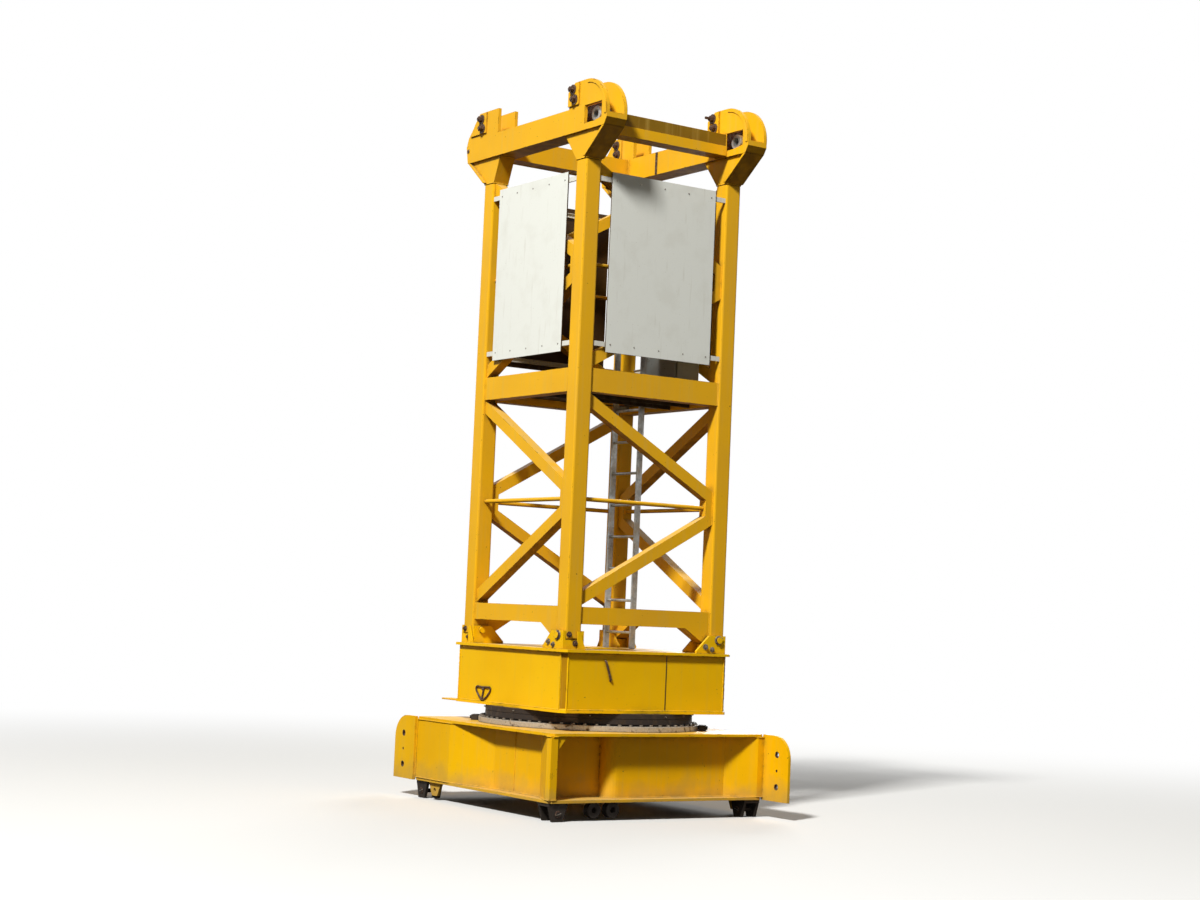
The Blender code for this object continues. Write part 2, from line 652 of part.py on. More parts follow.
def k_brace(left, right, bay_bottom, bay_rise):
    """Two sloping tubes that run together at the right leg, as one flat outline."""
    middle = bay_bottom + bay_rise / 2.0
    spread = bay_rise / 2.0 - K_END_MARGIN
    slope = (spread - K_POINT_RISE) / (right - left)
    gusset = right - K_GUSSET_LENGTH
    inner_left = spread - BRACE_RISE
    inner_right = inner_left - slope * (gusset - left)
    outline = [
        (left, middle + spread), (left, middle + inner_left),
        (gusset, middle + inner_right), (gusset, middle - inner_right),
        (left, middle - inner_left), (left, middle - spread),
        (right, middle - K_POINT_RISE), (right, middle + K_POINT_RISE),
    ]
    return stand_up(slab(outline, BRACE_DEPTH), -BRACE_OUTER)


def girder_outline():
    """Side view of a top girder: a plain nose at the left, a domed nose at the right."""
    dome_centre = (GIRDER_END - DOME_RADIUS, EAR_TOP_HEIGHT - DOME_RADIUS)
    slot_end = GIRDER_END - NOSE_SLOT_LENGTH
    right_nose = [
        (GIRDER_END - CHIN_INSET - CHIN_LOW_RISE, GIRDER_BOTTOM_HEIGHT),
        (GIRDER_END - CHIN_INSET, GIRDER_BOTTOM_HEIGHT + CHIN_LOW_RISE),
        (GIRDER_END, GIRDER_BOTTOM_HEIGHT + CHIN_HIGH_RISE),
        *arc(dome_centre, DOME_RADIUS, 0.0, 90.0, 10),
        (GIRDER_END - DOME_CREST_LENGTH, EAR_TOP_HEIGHT),
        (slot_end + DOME_SHOULDER_INSET, EAR_TOP_HEIGHT - DOME_SHOULDER_DROP),
        (slot_end + DOME_SHOULDER_INSET, GIRDER_TOP_HEIGHT),
    ]
    ear_left = -GIRDER_END + PLAIN_EAR_INSET
    left_nose = [
        (ear_left + PLAIN_EAR_LENGTH, GIRDER_TOP_HEIGHT), (ear_left + PLAIN_EAR_LENGTH, EAR_TOP_HEIGHT),
        (ear_left, EAR_TOP_HEIGHT),
        (-GIRDER_END + PLAIN_CREST_INSET, EAR_TOP_HEIGHT - PLAIN_CREST_DROP),
        (-GIRDER_END + CHIN_INSET, GIRDER_TOP_HEIGHT + PLAIN_BROW_RISE),
        (-GIRDER_END, GIRDER_TOP_HEIGHT - PLAIN_TIP_DROP),
        (-GIRDER_END + CHIN_INSET, GIRDER_BOTTOM_HEIGHT),
    ]
    return [*right_nose, *left_nose]


def add_haunches(girder, front_y):
    """The tapered ends down to the legs, as wide as a leg."""
    foot = LEG_TOP_HEIGHT + SEAT
    high = GIRDER_BOTTOM_HEIGHT + CHIN_LOW_RISE
    haunch_front = front_y + (GIRDER_WIDTH - LEG_SIZE) / 2.0
    for number, (sense, reach) in enumerate(((1.0, GUSSET_OUTREACH), (-1.0, GUSSET_PLAIN_OUTREACH))):
        near = sense * (LEG_INNER - reach)
        outline = [
            (sense * LEG_INNER, foot), (sense * TOWER_HALF, foot),
            (sense * (GIRDER_END - CHIN_INSET - CHIN_LOW_RISE), GIRDER_BOTTOM_HEIGHT),
            (sense * (GIRDER_END - CHIN_INSET - CHIN_LOW_RISE), high), (near, high), (near, GIRDER_BOTTOM_HEIGHT),
        ]
        combine(girder, stand_up(slab(outline, LEG_SIZE), haunch_front), "UNION", "haunch_%d" % number)


def make_girder(name, front_y, material, parent):
    """One top girder with open forked noses, a window and a pin bush."""
    girder = new_object(name, stand_up(slab(girder_outline(), GIRDER_WIDTH), front_y), material, parent)
    add_haunches(girder, front_y)
    slot_front = front_y + CHEEK_THICKNESS
    slot_width = GIRDER_WIDTH - 2.0 * CHEEK_THICKNESS
    floor = GIRDER_BOTTOM_HEIGHT + SLOPE_PLATE_THICKNESS
    ceiling = EAR_TOP_HEIGHT + CUT_OVERRUN
    for place, sense in (("left_slot", -1.0), ("right_slot", 1.0)):
        near = sense * (GIRDER_END - NOSE_SLOT_LENGTH)
        far = sense * (GIRDER_END + CUT_OVERRUN)
        outline = [(near, floor), (far, floor + SLOT_FLOOR_RISE), (far, ceiling), (near, ceiling)]
        combine(girder, stand_up(slab(outline, slot_width), slot_front), "DIFFERENCE", place)
    window_right = GIRDER_END - WINDOW_END_MARGIN
    sill = floor + WINDOW_SILL
    window = box(
        (window_right - WINDOW_LENGTH, front_y - CUT_OVERRUN, sill),
        (window_right, slot_front + CUT_OVERRUN, sill + WINDOW_RISE),
    )
    combine(girder, window, "DIFFERENCE", "window")
    bush_x = window_right - BUSH_INSET
    bush_z = sill + BUSH_LIFT
    back = front_y + GIRDER_WIDTH
    bush_face = back - CHEEK_THICKNESS - BUSH_LENGTH
    bush = rod(BUSH_DIAMETER, (bush_x, bush_face, bush_z), (bush_x, back - CHEEK_THICKNESS / 2.0, bush_z), 24)
    combine(girder, bush, "UNION", "bush")
    bore_ends = ((bush_x, bush_face - CUT_OVERRUN, bush_z), (bush_x, back + CUT_OVERRUN, bush_z))
    combine(girder, rod(BUSH_BORE, *bore_ends, 24), "DIFFERENCE", "bore")


def make_top_frame(materials, parent):
    """Two girders along X and two cross beams between them."""
    yellow = materials["yellow"]
    half = GIRDER_WIDTH / 2.0
    make_girder("top_girder_front", -LEG_LINE - half, yellow, parent)
    make_girder("top_girder_back", LEG_LINE - half, yellow, parent)
    reach = LEG_LINE - half - SEAT
    top = GIRDER_TOP_HEIGHT - CROSS_BEAM_DROP
    for side, sense in (("right", 1.0), ("left", -1.0)):
        inner = sense * (TOWER_HALF - CROSS_BEAM_WIDTH)
        outer = sense * TOWER_HALF
        low = (min(inner, outer), -reach, top - CROSS_BEAM_RISE)
        high = (max(inner, outer), reach, top)
        new_object("top_cross_beam_" + side, box(low, high), yellow, parent)


def make_deck(materials, parent):
    """The floor plate at mid height, with the ladder hatch and its corners cut round the legs."""
    hatch_middle = (LADDER_LEFT + LADDER_RIGHT) / 2.0
    hatch_left = hatch_middle - HATCH_LENGTH / 2.0
    hatch_right = hatch_middle + HATCH_LENGTH / 2.0
    hatch_back = LADDER_FRONT + HATCH_BEHIND_LADDER
    hatch_front = hatch_back - HATCH_WIDTH
    hatch = [
        (hatch_left, hatch_front), (hatch_right, hatch_front),
        (hatch_right, hatch_back), (hatch_left, hatch_back),
    ]
    deck = slab(square_outline(BEAM_INNER - SEAT, LEG_SIZE), DECK_THICKNESS, [hatch])
    bmesh.ops.translate(deck, verts=deck.verts[:], vec=(0, 0, DECK_HEIGHT))
    new_object("deck", deck, materials["dark_steel"], parent)


def make_ladder(materials, parent):
    """Two rails and round rungs, standing on the turntable."""
    bottom = TURNTABLE_TOP_HEIGHT + SEAT
    back = LADDER_FRONT + LADDER_RAIL_DEPTH
    first = box(
        (LADDER_LEFT, LADDER_FRONT, bottom), (LADDER_LEFT + LADDER_RAIL_WIDTH, back, LADDER_TOP_HEIGHT),
    )
    second = box(
        (LADDER_RIGHT - LADDER_RAIL_WIDTH, LADDER_FRONT, bottom), (LADDER_RIGHT, back, LADDER_TOP_HEIGHT),
    )
    ladder = new_object("ladder", first, materials["galvanised"], parent)
    combine(ladder, second, "UNION", "second_rail")
    middle = LADDER_FRONT + LADDER_RAIL_DEPTH / 2.0
    rung_left = LADDER_LEFT + LADDER_RAIL_WIDTH / 2.0
    rung_right = LADDER_RIGHT - LADDER_RAIL_WIDTH / 2.0
    rungs = bmesh.new()
    for number in range(int((LADDER_TOP_HEIGHT - bottom) / LADDER_RUNG_PITCH)):
        height = bottom + LADDER_RUNG_PITCH * (number + 0.5)
        piece = rod(LADDER_RUNG_DIAMETER, (rung_left, middle, height), (rung_right, middle, height), 8)
        copy = bpy.data.meshes.new("rung")
        piece.to_mesh(copy)
        piece.free()
        rungs.from_mesh(copy)
        bpy.data.meshes.remove(copy)
    combine(ladder, rungs, "UNION", "rungs")


def make_signs(materials, parent):
    """Plain panels on the four sides, each on two rails that lie on the braces and reach the legs."""
    face_y = -TOWER_HALF
    panel_back = face_y + PANEL_THICKNESS
    rail_front = panel_back - PANEL_THICKNESS / 2.0
    rail_back = -BRACE_OUTER - SEAT
    reach = LEG_INNER - SEAT
    bottoms = (PANEL_BOTTOM_HEIGHT + RAIL_INSET, PANEL_TOP_HEIGHT - RAIL_INSET - RAIL_RISE)
    for quarter, side in enumerate(SIDES):
        low = (-PANEL_WIDTH / 2.0, face_y, PANEL_BOTTOM_HEIGHT)
        high = (PANEL_WIDTH / 2.0, panel_back, PANEL_TOP_HEIGHT)
        panel = new_object("sign_panel_" + side, box(low, high), materials["white"], parent, quarter)
        for height, place in zip(bottoms, ("bottom_rail", "top_rail")):
            rail = box((-reach, rail_front, height), (reach, rail_back, height + RAIL_RISE))
            combine(panel, rail, "UNION", place)


def make_cabinet(materials, parent):
    """The electrical cabinet that stands on the deck."""
    bottom = DECK_HEIGHT + DECK_THICKNESS + SEAT
    low = (CABINET_RIGHT - CABINET_WIDTH, CABINET_BACK - CABINET_DEPTH, bottom)
    high = (CABINET_RIGHT, CABINET_BACK, bottom + CABINET_RISE)
    new_object("control_cabinet", box(low, high), materials["grey"], parent)


def main():
    """Build every piece."""
    clear_scene()
    materials = {
        "yellow": paint("yellow_paint", (0.90, 0.42, 0.005), 0.45, 0.0),
        "steel": paint("worn_steel", (0.32, 0.27, 0.21), 0.55, 0.8),
        "dark_steel": paint("dark_greased_steel", (0.06, 0.045, 0.03), 0.6, 0.5),
        "white": paint("white_paint", (0.86, 0.85, 0.80), 0.5, 0.0),
        "galvanised": paint("galvanised_steel", (0.45, 0.46, 0.46), 0.5, 0.8),
        "grey": paint("grey_enamel", (0.42, 0.42, 0.40), 0.5, 0.0),
    }
    base = bpy.data.objects.new("base_frame", None)
    tower = bpy.data.objects.new("slewing_axis", None)
    for empty in (base, tower):
        bpy.context.scene.collection.objects.link(empty)
    tower.parent = base
    make_base(materials, base)
    make_slewing_ring(materials, base, tower)
    make_turntable(materials, tower)
    for quarter, corner in enumerate(CORNERS):
        make_shoe(corner, quarter, materials, tower)
    make_legs(materials, tower)
    make_side_beams(materials, tower)
    make_top_frame(materials, tower)
    make_deck(materials, tower)
    make_ladder(materials, tower)
    make_signs(materials, tower)
    make_cabinet(materials, tower)


main()
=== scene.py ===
"""Looks of a standing tower crane section on its slewing platform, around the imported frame.

Metres, +Z up, with the slewing axis at the origin. Front is -Y and right is +X. Most of the
structure repeats every quarter turn about the axis, so pieces are described on the front side
and turned. The tower rides on the body "tower", the base frame on the body "base".
"""
import logging
import math
from dataclasses import dataclass, field
from enum import Enum
from typing import Any, Iterable, Sequence

import bmesh
import bpy
from mathutils import Matrix, Vector


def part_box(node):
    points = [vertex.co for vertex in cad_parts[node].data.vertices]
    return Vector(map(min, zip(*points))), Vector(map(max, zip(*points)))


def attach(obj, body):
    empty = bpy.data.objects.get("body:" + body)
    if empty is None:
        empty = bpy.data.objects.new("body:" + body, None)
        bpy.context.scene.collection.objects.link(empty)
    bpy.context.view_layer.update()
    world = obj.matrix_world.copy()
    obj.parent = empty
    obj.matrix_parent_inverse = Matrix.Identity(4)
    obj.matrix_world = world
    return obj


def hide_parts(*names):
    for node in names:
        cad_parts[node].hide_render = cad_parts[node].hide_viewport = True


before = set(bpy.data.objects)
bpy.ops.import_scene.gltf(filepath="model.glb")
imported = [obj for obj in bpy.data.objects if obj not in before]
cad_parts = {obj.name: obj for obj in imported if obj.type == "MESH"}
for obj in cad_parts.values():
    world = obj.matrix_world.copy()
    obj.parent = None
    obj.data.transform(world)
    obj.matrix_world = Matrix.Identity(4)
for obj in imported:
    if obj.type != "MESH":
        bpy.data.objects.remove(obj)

Material = bpy.types.Material
Point = Sequence[float]
Shape = bmesh.types.BMesh

LOG = logging.getLogger("tower")
QUARTER_TURN = math.pi / 2.0
CREASE = math.radians(32.0)  # sharper edges stay sharp under smooth shading
FLAT_SHARE = 5.0  # a face this many times larger than all its neighbours is shaded flat
SEAT = 0.0003  # gap between seated neighbours
CORNERS = ("front_right", "back_right", "back_left", "front_left")
# Quarter turns that bring a front piece to several sides.
EVERY_SIDE = (0, 1, 2, 3)
FRONT_AND_BACK = (0, 2)
RIGHT_AND_LEFT = (1, 3)
# What a point carries for its stamped part: name and type.
POINT_NOTES = (("facing", "FLOAT_VECTOR"), ("size", "FLOAT_VECTOR"), ("spin", "FLOAT"))
# A weld bead's ripples: their step in bead radii, and the least and most that it swells.
RIPPLE = 1.9
THINNEST = 0.72
THICKEST = 1.18
# How far a rounded normal agrees with the face's own off an edge and on it, and the share of
# open sky in a deep corner.
EDGE_FACING = (0.995, 0.86)
CORNER_SKY = 0.35
TWIST_SEED = 11
RING_SEED = 3
SWELL_SEED = 5


class Body(Enum):
    """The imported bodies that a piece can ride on."""

    BASE = "base"
    TOWER = "tower"


class Slot(Enum):
    """The record's material slots."""

    YELLOW = "yellow_paint"
    WORN = "worn_steel"
    DARK = "dark_steel"
    WHITE = "white_paint"
    ZINC = "galvanised_steel"
    GREY = "grey_enamel"


class Side(Enum):
    """The four sides, by the quarter turns that bring the front one there."""

    FRONT = 0
    RIGHT = 1
    BACK = 2
    LEFT = 3


class Stamp(Enum):
    """What a stamping tree puts on its points."""

    HEX_BOLT = "hex_bolt"
    SCREW = "screw"
    TREAD_BAR = "tread_bar"


# --------------------------------------------------------------------------- nodes and colours


def linear(code: str) -> tuple[float, float, float, float]:
    """Turn an sRGB hex colour into a linear one.

    Args:
        code: Six hex digits after a hash sign.

    Returns:
        Red, green, blue and alpha.
    """
    shares = [int(code[i : i + 2], 16) / 255.0 for i in (1, 3, 5)]
    light = [s / 12.92 if s <= 0.04045 else ((s + 0.055) / 1.055) ** 2.4 for s in shares]
    return (light[0], light[1], light[2], 1.0)


def add_node(
    tree: bpy.types.NodeTree,
    kind: str,
    settings: dict[str, Any] | None = None,
    inputs: dict[int | str, Any] | None = None,
) -> bpy.types.Node:
    """Add a node with its settings, values and links.

    Args:
        tree: The tree that takes the node.
        kind: The node's type name.
        settings: Properties of the node.
        inputs: A value or an output socket for each input, by name or number.

    Returns:
        The new node.
    """
    item = tree.nodes.new(kind)
    for name, value in (settings or {}).items():
        setattr(item, name, value)
    for key, value in (inputs or {}).items():
        if isinstance(value, bpy.types.NodeSocket):
            tree.links.new(value, item.inputs[key])
        else:
            item.inputs[key].default_value = value
    return item


class Canvas:
    """A surface while its finish is laid on: its colour and relief so far, and the masks for them.

    A mask is an output socket that is 1 where a layer shows and 0 where it doesn't.
    """

    def __init__(self, name: str, ground: str) -> None:
        """Start a Principled material.

        Args:
            name: The material's name.
            ground: Hex code of the colour that every layer lies on.
        """
        self.material = bpy.data.materials.new(name)
        self.material.use_nodes = True
        self.tree = self.material.node_tree
        self.shader = self.tree.nodes["Principled BSDF"]
        self.place = add_node(self.tree, "ShaderNodeTexCoord").outputs["Object"]
        self.colour: Any = linear(ground)
        self.relief: Any = None

    def noise(self, size_mm: float, detail: float, stretch: Point = (1.0, 1.0, 1.0)) -> Any:
        """Cloudy pattern of a real size.

        Args:
            size_mm: Width of a blotch in millimetres.
            detail: How many finer layers lie on it.
            stretch: How many times longer a blotch is along X, Y and Z.

        Returns:
            The pattern's output socket, 0 to 1.
        """
        scale = [1000.0 / (size_mm * s) for s in stretch]
        place = add_node(self.tree, "ShaderNodeMapping", None, {0: self.place, 3: scale}).outputs[0]
        inputs = {0: place, "Scale": 1.0, "Detail": detail}
        return add_node(self.tree, "ShaderNodeTexNoise", {"noise_dimensions": "3D"}, inputs).outputs[0]

    def patches(
        self, size_mm: float, detail: float, start: float, end: float, low: float = 0.0, high: float = 1.0,
        stretch: Point = (1.0, 1.0, 1.0),
    ) -> Any:
        """Mask of patches with soft rims, cut out of a cloudy pattern.

        Args:
            size_mm: Width of a patch in millimetres.
            detail: How ragged it is.
            start: The pattern's value at the outer rim of a patch.
            end: Its value at the inner rim.
            low: How far the layer shows outside the patches.
            high: How far it shows inside them.
            stretch: How many times longer a patch is along X, Y and Z.

        Returns:
            The mask.
        """
        inputs = {0: self.noise(size_mm, detail, stretch), 1: start, 2: end, 3: low, 4: high}
        return add_node(self.tree, "ShaderNodeMapRange", None, inputs).outputs[0]

    def broken(
        self, mask: Any, pattern: Any, start: float, end: float, low: float = 0.0, high: float = 1.0
    ) -> Any:
        """Break a mask up by a pattern.

        Args:
            mask: The whole mask.
            pattern: What breaks it up, 0 to 1.
            start: The pattern's value where the mask has its least share.
            end: Its value where the mask has its largest share.
            low: The least share.
            high: The largest share.

        Returns:
            The broken mask.
        """
        inputs = {0: pattern, 1: start, 2: end, 3: low, 4: high}
        share = add_node(self.tree, "ShaderNodeMapRange", None, inputs).outputs[0]
        inputs = {0: mask, 1: share}
        return add_node(self.tree, "ShaderNodeMath", {"operation": "MULTIPLY"}, inputs).outputs[0]

    def graded(self, *grades: tuple[Any, float, float]) -> Any:
        """Grade masks to values, and take the largest where they meet.

        Args:
            grades: A mask, its value where it doesn't show and its value where it does, for each.

        Returns:
            The graded value's output socket.
        """
        values = [
            add_node(self.tree, "ShaderNodeMapRange", None, {0: mask, 3: off, 4: on}).outputs[0]
            for mask, off, on in grades
        ]
        return self.together(*values)

    def together(self, first: Any, *others: Any) -> Any:
        """Join masks, so that each spot has the largest of them.

        Args:
            first: One mask.
            others: The masks that join it.

        Returns:
            The joined mask.
        """
        for other in others:
            settings = {"operation": "MAXIMUM"}
            first = add_node(self.tree, "ShaderNodeMath", settings, {0: first, 1: other}).outputs[0]
        return first

    def edges(self, radius_mm: float) -> Any:
        """Mask of the outer and inner edges.

        Args:
            radius_mm: How wide a strip along the edge it covers, in millimetres.

        Returns:
            The mask.
        """
        normal = add_node(self.tree, "ShaderNodeNewGeometry").outputs["Normal"]
        rounded = add_node(self.tree, "ShaderNodeBevel", {"samples": 4}, {0: radius_mm / 1000.0}).outputs[0]
        inputs = {0: normal, 1: rounded}
        meeting = add_node(self.tree, "ShaderNodeVectorMath", {"operation": "DOT_PRODUCT"}, inputs)
        inputs = {0: meeting.outputs["Value"], 1: EDGE_FACING[0], 2: EDGE_FACING[1]}
        return add_node(self.tree, "ShaderNodeMapRange", None, inputs).outputs[0]

    def corners(self, reach_mm: float, open_share: float = 0.85, most: float = 1.0) -> Any:
        """Mask of the corners, by how little open sky they see: where shade falls and dirt collects.

        Args:
            reach_mm: How far from the corner it reaches, in millimetres.
            open_share: Share of open sky at its outer rim.
            most: How far it shows in the deepest corner.

        Returns:
            The mask.
        """
        inputs = {"Distance": reach_mm / 1000.0}
        sky = add_node(self.tree, "ShaderNodeAmbientOcclusion", {"samples": 4}, inputs).outputs["AO"]
        inputs = {0: sky, 1: open_share, 2: CORNER_SKY, 4: most}
        return add_node(self.tree, "ShaderNodeMapRange", None, inputs).outputs[0]

    def facing(self, rim: float, full: float) -> Any:
        """Mask of the faces that look up or down.

        Args:
            rim: Height of the face's normal where the mask starts.
            full: Height of the normal where it is full.

        Returns:
            The mask.
        """
        normal = add_node(self.tree, "ShaderNodeNewGeometry").outputs["Normal"]
        height = add_node(self.tree, "ShaderNodeSeparateXYZ", None, {0: normal}).outputs[2]
        return add_node(self.tree, "ShaderNodeMapRange", None, {0: height, 1: rim, 2: full}).outputs[0]

    def lay(self, mask: Any, colour: str, mottling: tuple[Any, str] | None = None) -> None:
        """Lay a colour over what is there.

        Args:
            mask: Where it shows.
            colour: Its hex code.
            mottling: A mask and the hex code of a second colour that clouds the first.
        """
        layer: Any = linear(colour)
        settings = {"data_type": "RGBA"}
        if mottling:
            inputs = {0: mottling[0], 6: layer, 7: linear(mottling[1])}
            layer = add_node(self.tree, "ShaderNodeMix", settings, inputs).outputs[2]
        inputs = {0: mask, 6: self.colour, 7: layer}
        self.colour = add_node(self.tree, "ShaderNodeMix", settings, inputs).outputs[2]

    def emboss(self, height: Any, depth_mm: float) -> None:
        """Raise a pattern on the relief that is there.

        Args:
            height: The pattern, 0 to 1.
            depth_mm: Its depth in millimetres.
        """
        inputs: dict[int | str, Any] = {"Distance": depth_mm / 1000.0, "Height": height, "Strength": 1.0}
        if self.relief is not None:
            inputs["Normal"] = self.relief
        self.relief = add_node(self.tree, "ShaderNodeBump", None, inputs).outputs[0]

    def finished(self, **sockets: Any) -> Material:
        """Give the shader the colour, the relief and the rest.

        Args:
            sockets: A value or an output socket for each other input of the shader, by name.

        Returns:
            The finished material.
        """
        if self.relief is not None:
            sockets["normal"] = self.relief
        for name, value in {"base_color": self.colour, **sockets}.items():
            socket = self.shader.inputs[name.replace("_", " ").title()]
            if isinstance(value, bpy.types.NodeSocket):
                self.tree.links.new(value, socket)
            else:
                socket.default_value = value
        return self.material


# --------------------------------------------------------------------------- finishes


@dataclass(frozen=True)
class AgedEnamel:
    """Alkyd enamel sprayed on primed, welded plate: semi-gloss, slightly wavy, faded in clouds,
    streaked by rain, paler cream on faces that look up, darker under them with painted shade and
    some grime, darker in its corners with grime and painted shade, and chipped to rust along its edges."""

    name: str
    colour: str
    faded: str
    dust: str = "#D8B45C"
    upward_tint: str = "#DFC081"
    underside_shade_and_grime: str = "#6B4713"
    corner_grime_and_shade: str = "#5A4522"
    rust: str = "#5E3418"
    old_rust: str = "#2E1E14"
    splashed: str = "#A68D5E"
    chips: float = 0.5
    streaks: float = 0.35
    soil_height: float = 0.0
    gloss: float = 0.14
    upward_tint_share: float = 0.6
    underside_share: float = 0.8

    def soil(self, canvas: Canvas) -> Any:
        """Lay the soil that rain splashes up from the ground, with a ragged upper rim.

        Args:
            canvas: Takes the soil.

        Returns:
            Its mask.
        """
        tree = canvas.tree
        height = add_node(tree, "ShaderNodeSeparateXYZ", None, {0: canvas.place}).outputs[2]
        rag = canvas.patches(210.0, 5.0, 0.3, 0.7, -0.09, 0.09)
        rim = add_node(tree, "ShaderNodeMath", {"operation": "ADD"}, {0: height, 1: rag}).outputs[0]
        inputs = {0: rim, 1: self.soil_height, 2: 0.08, 3: 0.0, 4: 0.55}
        splash = add_node(tree, "ShaderNodeMapRange", None, inputs).outputs[0]
        canvas.lay(splash, self.splashed)
        return splash

    def chipped(self, canvas: Canvas, speckle: Any) -> Any:
        """Lay bare the rust in chips along the edges and in small spots.

        Args:
            canvas: Takes the rust.
            speckle: The pattern that leaves stretches of edge whole.

        Returns:
            Its mask.
        """
        tree = canvas.tree
        edge = canvas.broken(canvas.edges(7.0), speckle, 0.42, 0.6)
        flakes = {0: edge, 1: canvas.noise(26.0, 5.0)}
        worn = add_node(tree, "ShaderNodeMath", {"operation": "MULTIPLY"}, flakes).outputs[0]
        inputs = {0: worn, 1: 0.47 - 0.22 * self.chips, 2: 0.5 - 0.2 * self.chips}
        chips = add_node(tree, "ShaderNodeMapRange", None, inputs).outputs[0]
        spots = canvas.broken(canvas.patches(17.0, 2.0, 0.71, 0.74), speckle, 0.5, 0.6)
        bare = canvas.together(chips, spots)
        canvas.lay(bare, self.rust, (canvas.patches(9.0, 3.0, 0.35, 0.65), self.old_rust))
        return bare

    def build(self) -> Material:
        """Lay the enamel's clouds, streaks, paler tops, painted shade below, corner grime and shade, chips
        and soil.

        Returns:
            The finished material.
        """
        canvas = Canvas(self.name, self.colour)
        clouds = canvas.patches(620.0, 4.0, 0.36, 0.66)
        canvas.lay(clouds, self.faded)
        canvas.lay(canvas.patches(46.0, 3.0, 0.52, 0.74, 0.0, self.streaks, (1.0, 1.0, 22.0)), self.dust)
        speckle = canvas.noise(90.0, 6.0)
        ledges, undersides = canvas.facing(0.6, 0.95), canvas.facing(-0.25, -0.65)
        # Paler cream on the faces that look up.
        canvas.lay(canvas.broken(ledges, speckle, 0.34, 0.6, 0.1, self.upward_tint_share), self.upward_tint)
        # Painted shade, with some grime, darkens the faces that look down.
        canvas.lay(canvas.broken(undersides, speckle, 0.3, 0.6, 0.55, self.underside_share), self.underside_shade_and_grime)
        # Darker in the corners: grime and painted shade.
        corner = canvas.broken(canvas.corners(70.0), speckle, 0.3, 0.62, 0.15, 0.8)
        canvas.lay(corner, self.corner_grime_and_shade)
        bare = self.chipped(canvas, speckle)
        soiled = canvas.together(corner, bare)
        if self.soil_height > 0.0:
            soiled = canvas.together(soiled, self.soil(canvas))
        canvas.emboss(canvas.noise(340.0, 1.0), 2.2)
        canvas.emboss(canvas.noise(7.0, 2.0), 0.12)
        canvas.emboss(canvas.graded((bare, 1.0, 0.0)), 0.35)
        canvas.shader.inputs["Specular IOR Level"].default_value = self.gloss
        return canvas.finished(roughness=canvas.graded((clouds, 0.36, 0.5), (soiled, 0.36, 0.85)))


@dataclass(frozen=True)
class BareSteel:
    """Machined or rolled steel left bare or greased: dull metal with brown patches of rust, oil
    or old grease, and fine scratches in its gloss."""

    name: str
    colour: str
    patch: str
    metallic: float = 0.75
    roughness: float = 0.42
    cover: float = 0.5
    patch_mm: float = 60.0
    tarnish: str = "#1E1A16"
    crust: str = "#241A12"

    def build(self) -> Material:
        """Lay the metal, its patches and its scratches.

        Returns:
            The finished material.
        """
        canvas = Canvas(self.name, self.colour)
        middle = 0.72 - 0.44 * self.cover
        patches = canvas.patches(self.patch_mm, 6.0, middle - 0.05, middle + 0.07)
        cover = canvas.together(patches, canvas.corners(40.0, 0.75))
        grain = canvas.patches(11.0, 4.0, 0.3, 0.7)
        canvas.lay(canvas.graded((grain, 0.0, 0.3)), self.tarnish)
        canvas.lay(cover, self.patch, (grain, self.crust))
        canvas.emboss(canvas.noise(5.0, 4.0), 0.25)
        metallic = canvas.graded((cover, self.metallic, 0.05))
        return canvas.finished(metallic=metallic, roughness=canvas.graded((cover, self.roughness, 0.8)))


@dataclass(frozen=True)
class Galvanised:
    """Hot-dip galvanised steel: flat grey spangles about 18 mm across, dulled by white bloom."""

    name: str
    colour: str = "#B4B7B6"
    dark_spangle: str = "#7E8382"
    bloom: str = "#D2D2CB"
    corner_dirt_and_shade: str = "#4A4032"
    spangle_mm: float = 18.0

    def build(self) -> Material:
        """Lay the spangles and the bloom.

        Returns:
            The finished material.
        """
        canvas = Canvas(self.name, self.colour)
        inputs = {0: canvas.place, "Scale": 1000.0 / self.spangle_mm}
        spangle = add_node(canvas.tree, "ShaderNodeTexVoronoi", None, inputs).outputs["Color"]
        shade = add_node(canvas.tree, "ShaderNodeSeparateColor", None, {0: spangle}).outputs[0]
        canvas.lay(canvas.graded((shade, 0.0, 0.55)), self.dark_spangle)
        bloom = canvas.patches(130.0, 5.0, 0.42, 0.68, 0.0, 0.8)
        canvas.lay(bloom, self.bloom)
        # Darker in the corners: dirt and painted shade.
        corner_dirt_and_shade = canvas.corners(45.0, 0.8, 0.7)
        canvas.lay(corner_dirt_and_shade, self.corner_dirt_and_shade)
        inputs = {0: bloom, 1: 0.3, 2: canvas.graded((shade, 0.3, 0.5))}
        roughness = add_node(canvas.tree, "ShaderNodeMath", {"operation": "MULTIPLY_ADD"}, inputs).outputs[0]
        metallic = canvas.graded((canvas.together(bloom, corner_dirt_and_shade), 0.8, 0.1))
        return canvas.finished(metallic=metallic, roughness=roughness)


